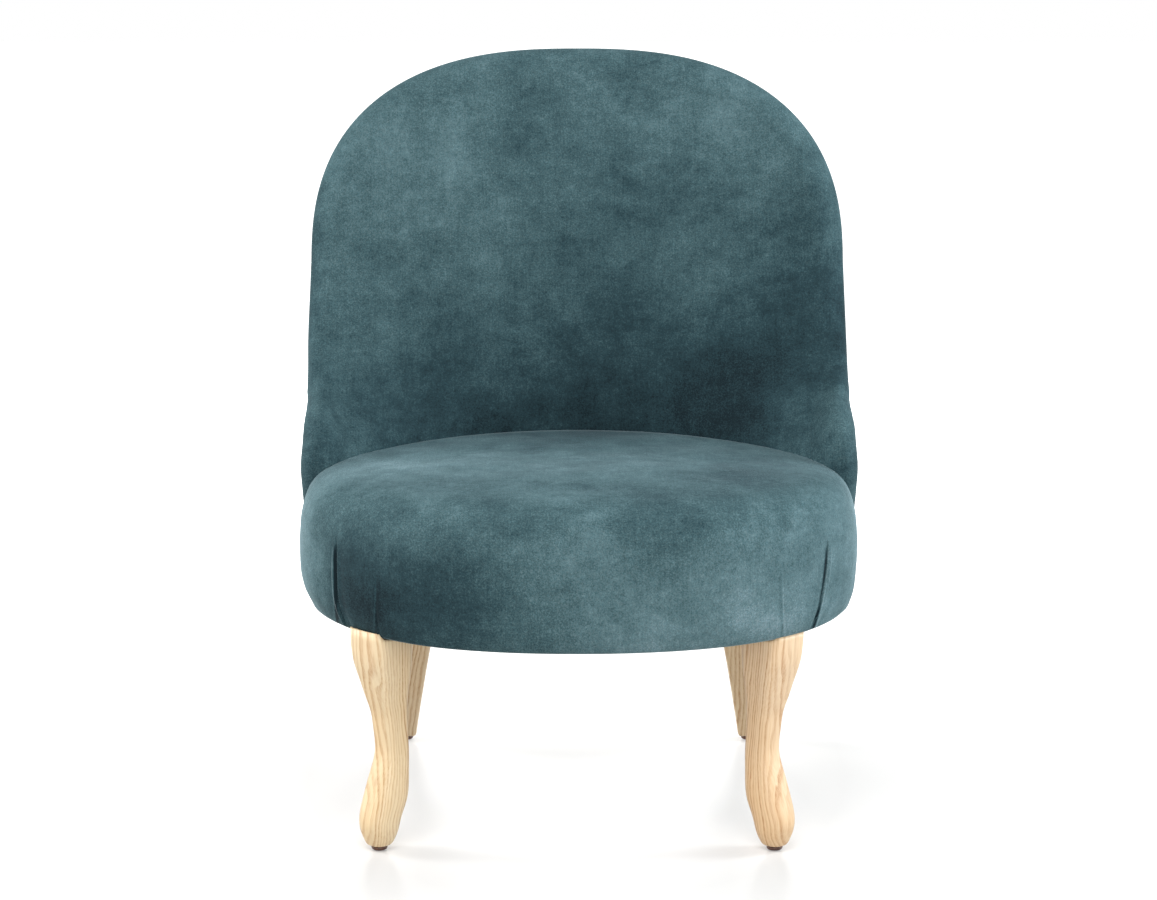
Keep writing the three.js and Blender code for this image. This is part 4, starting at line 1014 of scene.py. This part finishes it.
def leg_rings(name):
    """A leg from the end of its nail hole, down and round its foot, up to its bolt hole."""
    front = name.startswith("front")
    foot = plan_of(f"glide_{name}")
    knee = plan_of(f"leg_bolt_{name}")
    ankle_set = np.array((-math.copysign(ANKLE_SET, foot[0]), ANKLE_SET))
    start = math.pi / 4 if front else 0
    length = LEG_TOP - LEG_FOOT
    rounded = LEG_ROUNDING / length
    nail_hole = circle(foot, NAIL_HOLE, start)
    rings = [(nail_hole, LEG_FOOT + NAIL_LENGTH), (nail_hole, LEG_FOOT)]
    for share in (*(rounded * LEG_ROUNDING_ROWS), *np.linspace(rounded, 1, LEG_ROWS)):
        middle = foot + (knee - foot) * share
        half = REAR_FOOT_HALF + (REAR_KNEE_HALF - REAR_FOOT_HALF) * share ** REAR_SWELL
        squareness = REAR_SQUARENESS
        if front:
            half, bend, squareness = smooth(CABRIOLE, share)
            half *= KNEE_HALF
            middle += ankle_set * bend
        above = share * length
        drawn_in = max(LEG_ROUNDING - above, 0)
        half -= LEG_ROUNDING - math.sqrt(LEG_ROUNDING ** 2 - drawn_in ** 2)
        rings.append((section(middle, half, squareness, start), LEG_FOOT + above))
    if front:
        rim = rings.pop()[0]
        plans = [knee + (rim - knee) * share for share in LEG_TOP_RINGS]
        rings += [(plan, leg_top(plan)) for plan in plans]
    bolt_hole = circle(knee, BOLT_HOLE, start)
    return rings + [(bolt_hole, LEG_TOP), (bolt_hole, LEG_TOP - BOLT_IN_LEG)]


def make_leg(name, seed):
    rings = leg_rings(name)
    points, faces = lofted(rings)
    leg = make_piece(f"turned_leg_{name}", points, faces, ash_material(f"ash_{name}", seed))
    middle = np.concatenate([np.broadcast_to(plan.mean(0), plan.shape) for plan, _ in rings])
    grain = points.copy()
    grain[:, :2] -= middle * GRAIN_FOLLOWS
    vectors = leg.data.attributes.new("grain", "FLOAT_VECTOR", "POINT")
    vectors.data.foreach_set("vector", (grain * MM).astype(np.float32).ravel())
    dress(leg, "ash", f"leg_{name}")


def make_glide(name, material):
    foot = plan_of(f"glide_{name}")
    rings = [(GLIDE_RADIUS * share, height) for share, height in GLIDE_PROFILE]
    rings += [
        (NAIL_RADIUS, GLIDE_HEIGHT + GLIDE_SEAT),
        (NAIL_RADIUS, GLIDE_HEIGHT + NAIL_LENGTH - NAIL_RADIUS),
        (NAIL_RADIUS * NAIL_POINT, GLIDE_HEIGHT + NAIL_LENGTH),
    ]
    body = lofted([(circle(foot, radius), z) for radius, z in rings])
    dress(make_piece(f"domed_glide_{name}", *body, material), "nylon", f"glide_{name}")


# Materials.


def linear(colour):
    """A colour as it shows on a screen, 0 to 255, to the shader's linear values."""
    shown = [value / 255 for value in colour]
    return (*(v / 12.92 if v <= 0.04045 else ((v + 0.055) / 1.055) ** 2.4 for v in shown), 1)


class Nodes:
    """A tree of shader nodes, built up by calls that return sockets."""

    def __init__(self, tree):
        self.tree = tree

    def node(self, kind, inputs=None, **settings):
        made = self.tree.nodes.new(kind)
        for name, value in settings.items():
            setattr(made, name, value)
        for name, value in (inputs or {}).items():
            self.put(made.inputs[name], value)
        return made

    def put(self, socket, value):
        if isinstance(value, bpy.types.NodeSocket):
            self.tree.links.new(value, socket)
        else:
            socket.default_value = value

    def math(self, operation, *values, clamp=False):
        made = self.node("ShaderNodeMath", operation=operation, use_clamp=clamp)
        for socket, value in zip(made.inputs, values):
            self.put(socket, value)
        return made.outputs[0]

    def times(self, a, b, clamp=False):
        return self.math("MULTIPLY", a, b, clamp=clamp)

    def total(self, first, *others):
        for other in others:
            first = self.math("ADD", first, other)
        return first

    def parts(self, vector):
        return self.node("ShaderNodeSeparateXYZ", {"Vector": vector}).outputs

    def spread(self, value, low, high, to_low=0, to_high=1):
        ends = {"From Min": low, "From Max": high, "To Min": to_low, "To Max": to_high}
        made = self.node("ShaderNodeMapRange", {"Value": value, **ends}, clamp=True)
        return made.outputs["Result"]

    def seen_directly(self):
        """1 for the camera and the reflections, and 0 for the light on other surfaces."""
        path = self.node("ShaderNodeLightPath").outputs
        other = self.math("MAXIMUM", path["Is Glossy Ray"], path["Is Transmission Ray"])
        return self.math("MAXIMUM", path["Is Camera Ray"], other)


class Finish(Nodes):
    """A node material."""

    def __init__(self, name):
        self.material = bpy.data.materials.new(name)
        self.material.use_nodes = True
        super().__init__(self.material.node_tree)
        self.shader = self.tree.nodes["Principled BSDF"]

    def shade(self, **values):
        for name, value in values.items():
            self.put(self.shader.inputs[name.replace("_", " ")], value)

    def place(self, stretch=(1, 1, 1), shift=(0, 0, 0), turn=(0, 0, 0), at=None):
        """The place on the object, in metres, or another vector, stretched, turned and shifted."""
        return self.node("ShaderNodeMapping", {
            "Vector": at or self.node("ShaderNodeTexCoord").outputs["Object"],
            "Scale": stretch,
            "Location": shift,
            "Rotation": [math.radians(a) for a in turn],
        }).outputs["Vector"]

    def marks(self, scale, detail, roughness, distortion=0, *where, at=None):
        """Noise on the object, or at another vector."""
        return self.node("ShaderNodeTexNoise", {
            "Vector": at or self.place(*where),
            "Scale": scale,
            "Detail": detail,
            "Roughness": roughness,
            "Distortion": distortion,
        }).outputs["Fac"]

    def ramp(self, value, stops):
        made = self.node("ShaderNodeValToRGB", {"Fac": value})
        elements = made.color_ramp.elements
        while len(elements) < len(stops):
            elements.new(0.5)
        for element, (place, colour) in zip(elements, stops):
            element.position = place
            element.color = colour
        return made.outputs["Color"]

    def mix(self, share, a, b, blend="MIX"):
        made = self.node("ShaderNodeMix", data_type="RGBA", blend_type=blend)
        for socket, value in zip((made.inputs[k] for k in (0, 6, 7)), (share, a, b)):
            self.put(socket, value)
        return made.outputs[2]

    def bump(self, height, strength, distance):
        values = {"Height": height, "Strength": strength, "Distance": distance}
        self.shade(Normal=self.node("ShaderNodeBump", values).outputs["Normal"])


def velvet_material():
    """Crushed velvet: clouds where the pile lies this way or that, fine threads, and sheen, on top of
    the tone stored on the pieces, which holds painted shade and painted sheen.
    """
    finish = Finish("velvet")
    marks = {name: finish.marks(*noise) for name, (_, noise) in VELVET_MARKS.items() if noise}
    for name in ("speckle", "grit"):
        marks[name] = finish.spread(marks[name], *VELVET_FINE)
    facing = finish.parts(finish.node("ShaderNodeNewGeometry").outputs["Normal"])["X"]
    sideways = finish.spread(finish.math("ABSOLUTE", facing), *VELVET_SIDEWAYS)
    threads = (finish.marks(*VELVET_ACROSS), finish.marks(*VELVET_ALONG))
    marks["threads"] = finish.mix(sideways, *threads)

    def about(name, amount):
        return finish.times(finish.math("SUBTRACT", marks[name], 0.5), amount)

    # The tone stored on the pieces: random patches, with painted shade where the seat meets the back,
    # lower on the back and in the folds, and painted sheen and highlights at the sides and beside the
    # folds.
    nap_and_painted_light = finish.node("ShaderNodeAttribute", attribute_name="nap_and_painted_light").outputs["Fac"]
    parts = [about(name, amount) for name, (amount, _) in VELVET_MARKS.items()]
    tone = finish.total(nap_and_painted_light, 0.5, *parts)
    colour = finish.ramp(tone, [(place, linear(shown)) for place, shown in VELVET_TONES])
    grey = finish.mix(1.0, colour, VELVET_GREY, "MULTIPLY")
    hue = finish.spread(finish.marks(*VELVET_HUE), *VELVET_HUE_PART)
    finish.shade(
        Base_Color=finish.mix(finish.times(hue, VELVET_HUE_SHARE), colour, grey),
        Roughness=0.92,
        Specular_IOR_Level=0.12,
        Sheen_Weight=0.5,
        Sheen_Roughness=0.2,
        Sheen_Tint=linear(VELVET_SHEEN),
    )
    finish.bump(finish.total(*(about(*part) for part in VELVET_RELIEF)), *VELVET_BUMP)
    return finish.material


def ash_material(name, seed):
    """Light ash: growth rings cut lengthwise, with a band of open pores in each."""
    finish = Finish(name)
    grain = finish.node("ShaderNodeAttribute", attribute_name="grain").outputs["Vector"]

    def marks(kind):
        (scale, detail, roughness, along, shift), counts = ASH_MARKS[kind]
        place = [seed * apart for apart in ASH_SHIFT]
        place[0] += shift
        found = finish.marks(scale, detail, roughness, at=finish.place((1, 1, along), place, at=grain))
        return finish.spread(found, *counts) if counts else found

    leaning = [finish.times(part, lean) for part, lean in zip(finish.parts(grain), ASH_CUTS[seed])]
    wander = finish.times(marks("wander"), ASH_WANDER)
    ripple = finish.times(marks("ripple"), ASH_RIPPLE)
    turns = finish.times(finish.total(*leaning, wander, ripple), 1 / (ASH_RING * MM))
    year = [(place, (dark, dark, dark, 1)) for place, dark in ASH_YEAR]
    late = finish.ramp(finish.math("FRACT", turns), year)
    ring = {"X": finish.math("FLOOR", turns), "Y": seed * ASH_YEARS_SHIFT}
    ring = finish.node("ShaderNodeCombineXYZ", ring).outputs["Vector"]
    late = finish.times(late, finish.spread(finish.marks(*ASH_YEARS, at=ring), *ASH_YEARS_PART))
    solid, porous = ASH_PORES
    pores = finish.total(solid, finish.times(marks("pores"), porous))
    band = finish.times(late, pores, clamp=True)
    colour = finish.mix(marks("tone"), *(linear(pale) for pale in ASH_PALE))
    colour = finish.mix(marks("fibre"), colour, linear(ASH_FIBRE))
    colour = finish.mix(finish.times(band, ASH_BAND_SHARE), colour, linear(ASH_BAND))
    colour = finish.mix(finish.times(marks("knot"), ASH_KNOT_SHARE), colour, linear(ASH_KNOT))
    finish.shade(
        Base_Color=finish.mix(1.0, colour, ASH_TINTS[seed], "MULTIPLY"),
        Roughness=finish.spread(band, 0, 1, *ASH_GLOSS),
        Specular_IOR_Level=0.4,
        Coat_Weight=0.12,
        Coat_Roughness=0.35,
    )
    finish.bump(finish.math("SUBTRACT", 1, band), *ASH_BUMP)
    return finish.material


def plain_material(name):
    """Scuffed nylon, sawn beech, fibre board or brushed steel."""
    noise_kind, counts, colours, gloss, relief = PLAIN_FINISHES[name]
    finish = Finish(name)
    marks = finish.marks(*noise_kind)
    colour = finish.mix(finish.spread(marks, *counts), *(linear(shown) for shown in colours))
    if name == "beech":
        fleck = finish.spread(finish.marks(*BEECH_FLECKS), *BEECH_FLECKS_PART)
        colour = finish.mix(finish.times(fleck, BEECH_FLECK_SHARE), colour, linear(BEECH_FLECK))
    roughness = finish.spread(marks, *gloss) if isinstance(gloss, tuple) else gloss
    finish.shade(Base_Color=colour, Roughness=roughness, Metallic=float(name in METALS))
    finish.bump(marks, *relief)
    return finish.material


def woven_material(name):
    """Plain weave: threads over and under each other, a pitch apart."""
    light, dark, pitch = WEAVES[name]
    finish = Finish(name)
    at = finish.place()
    parts = finish.parts(at)
    up = finish.times(parts["Z"], WEAVE_RISE)
    turns = TAU / (pitch * MM)
    waves = [finish.math("SINE", finish.times(finish.total(parts[a], up), turns)) for a in ("X", "Y")]
    uneven = finish.marks(*WEAVE_MARKS, at=at)
    tone = finish.total(finish.times(finish.times(*waves), WEAVE_SHARE), uneven)
    colour = finish.mix(finish.spread(tone, *WEAVE_PART), linear(dark), linear(light))
    finish.shade(Base_Color=colour, Roughness=0.95, Sheen_Weight=0.15, Sheen_Roughness=0.5)
    finish.bump(tone, *WEAVE_BUMP)
    return finish.material


# Pieces.


def lay_nap_and_painted_light(piece, patches, rise=0.0, base=0.0, folds=()):
    """Stores how light the velvet is painted at each point: a base and its change with height,
    which is painted shade towards the bottom, broad patches of tone, painted shade and painted
    sheen, and painted shade and highlights along the folds."""
    at = np.empty(len(piece.data.vertices) * 3, np.float32)
    piece.data.vertices.foreach_get("co", at)
    at = at.reshape(-1, 3) / MM - (0, FEET_LINE, 0)
    nap_and_painted_light = base + (smoothstep(*PAINTED_SHADE_HEIGHTS, at[:, 2]) - 0.5) * rise
    for *place, reach, amount in patches:
        nap_and_painted_light += amount * bell(np.linalg.norm(at - place, axis=1), reach)
    height = (at[:, 2] - SEAT_UNDERSIDE) / (SEAT_CROWN_HEIGHT - SEAT_SIDE_FALL - SEAT_UNDERSIDE)
    for kind in folds:
        shown = (1 - smoothstep(*kind["fade"], height)) * (at[:, 1] < SEAT_WIDEST_Y)
        for x, drift in kind["lines"]:
            away = at[:, 0] - fold_line(x, drift, np.clip(height, 0, 1))
            for place, reach, amount in kind["marks"]:
                nap_and_painted_light += shown * amount * bell(away * math.copysign(1, x) - place, reach)
    values = piece.data.attributes.new("nap_and_painted_light", "FLOAT", "POINT")
    values.data.foreach_set("value", nap_and_painted_light.astype(np.float32))


def subtract(piece, points, faces):
    """Cuts a body out of a piece."""
    cutter = make_piece("cutter", points, faces, piece.data.materials[0])
    change = piece.modifiers.new("cut", "BOOLEAN")
    change.object = cutter
    change.operation = "DIFFERENCE"
    change.solver = "EXACT"
    view = bpy.context.evaluated_depsgraph_get()
    mesh = bpy.data.meshes.new_from_object(piece.evaluated_get(view))
    piece.modifiers.clear()
    piece.data = mesh
    bpy.data.objects.remove(cutter)
    keep_largest(mesh)


def keep_largest(mesh):
    """Drops loose crumbs that a cut has left."""
    body = bmesh.new()
    body.from_mesh(mesh)
    left = set(body.verts)
    groups = []
    while left:
        found = {left.pop()}
        group = set(found)
        while found:
            found = {edge.other_vert(vertex) for vertex in found for edge in vertex.link_edges} & left
            left -= found
            group |= found
        groups.append(group)
    for group in sorted(groups, key=len)[:-1]:
        bmesh.ops.delete(body, geom=list(group), context="VERTS")
    body.to_mesh(mesh)
    body.free()


def make_seat(velvet):
    seat = make_piece("seat", *seat_surface(), velvet)
    subtract(seat, *back_form(TUCK))
    # painted shade where the seat meets the back and in its folds, painted sheen at its sides
    lay_nap_and_painted_light(seat, SEAT_NAP_AND_PAINTED_LIGHT, base=SEAT_NAP_BASE, folds=FOLDS)
    dress(seat, "velvet", "seat_cover", "seat_wadding", "seat_foam")


def make_back(velvet):
    inside = make_piece("back_inside", *back_body(-1), velvet)
    subtract(inside, *rail_prism())
    # painted shade at the back's foot where it meets the seat, painted sheen at its sides
    lay_nap_and_painted_light(inside, BACK_NAP_AND_PAINTED_LIGHT, BACK_PAINTED_SHADE_RISE, BACK_NAP_BASE)
    dress(inside, "velvet", "back_inside_cover", "back_wadding", "back_foam")
    outside = make_piece("back_outside", *back_body(1), velvet)
    lay_nap_and_painted_light(outside, OUTSIDE_NAP, base=BACK_NAP_BASE)
    dress(outside, "velvet", "back_outside_cover", "back_outside_wadding")


def cloth_copy(name, nodes, material):
    """Sheets of a frame's webbing or lining: their outlines and places from the frame, with a finer
    mesh and slight waves."""
    body = bmesh.new()
    for node in nodes:
        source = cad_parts[node]
        mesh = source.data.copy()
        mesh.transform(source.matrix_world)
        body.from_mesh(mesh)
        bpy.data.meshes.remove(mesh)
    for _ in range(CLOTH_SPLITS):
        long_edges = [edge for edge in body.edges if edge.calc_length() > CLOTH_EDGE * MM]
        if not long_edges:
            break
        bmesh.ops.subdivide_edges(body, edges=long_edges, cuts=1, use_grid_fill=True)
    area = sum(face.calc_area() for face in body.faces) / 2
    body.normal_update()
    for vertex in body.verts:
        wave = noise.noise(vertex.co / MM / CLOTH_WAVE)
        vertex.co += vertex.normal * (wave * CLOTH_WAVE_HEIGHT * MM)
    mesh = bpy.data.meshes.new(name)
    body.to_mesh(mesh)
    body.free()
    mesh.shade_flat()
    mesh.materials.append(material)
    piece = add_object(name, mesh)
    dress(piece, "jute", *nodes)


def polar(plan):
    """Direction and distance of places from the seat's middle."""
    away = plan - SEAT_MIDDLE
    return np.arctan2(away[:, 1], away[:, 0]), np.hypot(away[:, 0], away[:, 1])


def dust_outline():
    """The dust cover's edge: inside the seat's outline in front and at the sides, and that of
    its node behind."""
    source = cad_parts["dust_cover"]
    corners = np.array([source.matrix_world @ v.co for v in source.data.vertices])[:, :2] / MM
    turn, reach = polar(corners - (0, FEET_LINE))
    sector = np.floor(turn / TAU * DUST_SECTORS)
    farthest = [max(np.flatnonzero(sector == s), key=lambda k: reach[k]) for s in np.unique(sector)]
    turns = np.linspace(-math.pi, math.pi, DUST_COLUMNS, endpoint=False)
    reach = np.interp(turns, turn[farthest], reach[farthest], period=TAU)
    within = np.interp(turns, *polar(inside_outline(DUST_INSET)), period=TAU)
    rear = smoothstep(*DUST_REAR, np.sin(turns))
    reach = np.minimum(reach, within + (reach - within) * rear)
    return np.column_stack([np.cos(turns), np.sin(turns)]) * reach[:, None] + SEAT_MIDDLE


def make_dust_cover(material):
    """The black cloth under the seat, tacked to the rails and slack between the legs."""
    edge = dust_outline()
    knees = [plan_of(f"leg_bolt_{name}") for name in LEG_NAMES]
    rings = []
    for k in range(DUST_ROWS):
        share = 1 - k / DUST_ROWS
        plan = SEAT_MIDDLE + (edge - SEAT_MIDDLE) * share
        slack = DUST_SAG * (1 - smoothstep(*DUST_SAG_FROM, share))
        for knee in knees:
            slack = slack * smoothstep(*DUST_FREE, np.hypot(*(plan - knee).T))
        at = np.column_stack([plan, np.full(len(plan), DUST_LEVEL)])
        ripple = lumps(at, [DUST_RIPPLE]) * smoothstep(*DUST_RIPPLE_EDGE, share)
        at[:, 2] -= slack + np.maximum(ripple, DUST_RIPPLE_LEAST) * (slack > 0)
        rings.append(at)
    level = np.concatenate([*rings, [(*SEAT_MIDDLE, DUST_LEVEL - DUST_SAG)]])
    faces = grid_faces(DUST_ROWS, DUST_COLUMNS, closed=True)
    last = len(level) - 1 - DUST_COLUMNS
    turned = [(j + 1) % DUST_COLUMNS for j in range(DUST_COLUMNS)]
    faces += [(last + j, last + k, len(level) - 1) for j, k in enumerate(turned)]
    half = (0, 0, DUST_THICKNESS / 2)
    piece = make_piece("tacked_dust_cover", *closed_between(level + half, level - half, faces), material)
    dress(piece, "cambric", "dust_cover")


def make_linings(finishes):
    """The straps of seat and back, the hessian over the seat's and the dust cover."""
    for name, start, rests_on in STRAPS:
        nodes = sorted(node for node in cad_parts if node.startswith(start))
        cloth_copy(name, nodes, finishes["jute"])
    cloth_copy("stretched_hessian", ["seat_hessian"], finishes["hessian"])
    make_dust_cover(finishes["cambric"])


def dress_frame(finishes):
    """Gives the nodes that keep their shape their own finish."""
    for node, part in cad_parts.items():
        for finish, words in SHOWN_NODES.items():
            if any(word in node for word in words) and not part.hide_render:
                part.data.materials.clear()
                part.data.materials.append(finishes[finish])


# Studio.


def make_camera():
    data = bpy.data.cameras.new("camera")
    data.sensor_width = SENSOR
    data.lens = FOCAL_PIXELS / IMAGE_WIDTH * SENSOR
    data.clip_end = CAMERA_REACH
    camera = add_object("camera", data)
    camera.location = Vector(placed([CAMERA_PLACE])[0])
    camera.rotation_euler = (math.radians(90 - CAMERA_PITCH), 0, 0)
    bpy.context.scene.camera = camera


def make_lamp(place, size, watts, colour):
    """A soft square lamp, aimed at the middle of the chair."""
    data = bpy.data.lights.new("lamp", "AREA")
    data.shape = "RECTANGLE"
    data.size, data.size_y = size
    data.energy = watts
    data.color = colour
    lamp = add_object("lamp", data)
    lamp.location = place
    lamp.rotation_euler = (Vector(LAMP_AIM) - Vector(place)).to_track_quat("-Z", "Y").to_euler()


def floor_material():
    """A pale floor with a glow that only the camera and the reflections see: painted light,
    strongest under the chair, covers the shadows but for those at the chair, and the floor can
    be looked through from below."""
    finish = Finish("floor")

    def distance(at):
        return finish.node("ShaderNodeVectorMath", {0: at}, operation="LENGTH").outputs["Value"]

    parts = finish.parts(finish.place(UNDER_STRETCH, UNDER_SHIFT))
    behind = finish.times(parts["Y"], UNDER_BEHIND)
    ahead = finish.math("MAXIMUM", finish.times(parts["Y"], -1), behind)
    near = finish.node("ShaderNodeCombineXYZ", {"X": parts["X"], "Y": ahead}).outputs["Vector"]
    # painted light: strongest in the dim place under the chair, where it covers the chair's shadow
    glow_and_painted_light = finish.total(
        finish.spread(distance(near), *UNDER_REACH, UNDER_PAINTED_LIGHT, FLOOR_LIFT),
        finish.spread(distance(finish.place()), *FAR_REACH),
    )
    finish.shade(
        Base_Color=finish.mix(finish.marks(*FLOOR_MARKS), *(linear(tone) for tone in FLOOR_TONES)),
        Roughness=0.6,
        Specular_IOR_Level=0.1,
        Emission_Color=FLOOR_WHITE,
        Emission_Strength=finish.times(finish.seen_directly(), glow_and_painted_light),
    )
    both = finish.node("ShaderNodeMixShader", {
        "Fac": finish.node("ShaderNodeNewGeometry").outputs["Backfacing"],
        1: finish.shader.outputs["BSDF"],
        2: finish.node("ShaderNodeBsdfTransparent").outputs["BSDF"],
    })
    finish.put(finish.tree.nodes["Material Output"].inputs["Surface"], both.outputs["Shader"])
    return finish.material


def make_floor():
    mesh = bpy.data.meshes.new("floor")
    half = FLOOR_HALF
    corners = [(-half, -half, 0), (half, -half, 0), (half, half, 0), (-half, half, 0)]
    mesh.from_pydata(corners, [], [(0, 1, 2, 3)])
    mesh.materials.append(floor_material())
    add_object("floor", mesh)


def make_world():
    world = bpy.data.worlds.new("world")
    world.use_nodes = True
    nodes = Nodes(world.node_tree)
    background = nodes.tree.nodes["Background"].inputs
    background["Color"].default_value = (1, 1, 1, 1)
    nodes.put(background["Strength"], nodes.spread(nodes.seen_directly(), 0, 1, WORLD_STRENGTH, 1))
    bpy.context.scene.world = world


make_camera()
make_floor()
make_world()
for lamp in LAMPS:
    make_lamp(*lamp)
bpy.context.scene.view_settings.view_transform = "Standard"

velvet = velvet_material()
make_seat(velvet)
make_back(velvet)
finishes = {name: plain_material(name) for name in PLAIN_FINISHES}
finishes |= {name: woven_material(name) for name in WEAVES}
for seed, leg_name in enumerate(LEG_NAMES):
    make_leg(leg_name, seed)
for leg_name in LEG_NAMES:
    make_glide(leg_name, finishes["nylon"])
make_linings(finishes)
dress_frame(finishes)
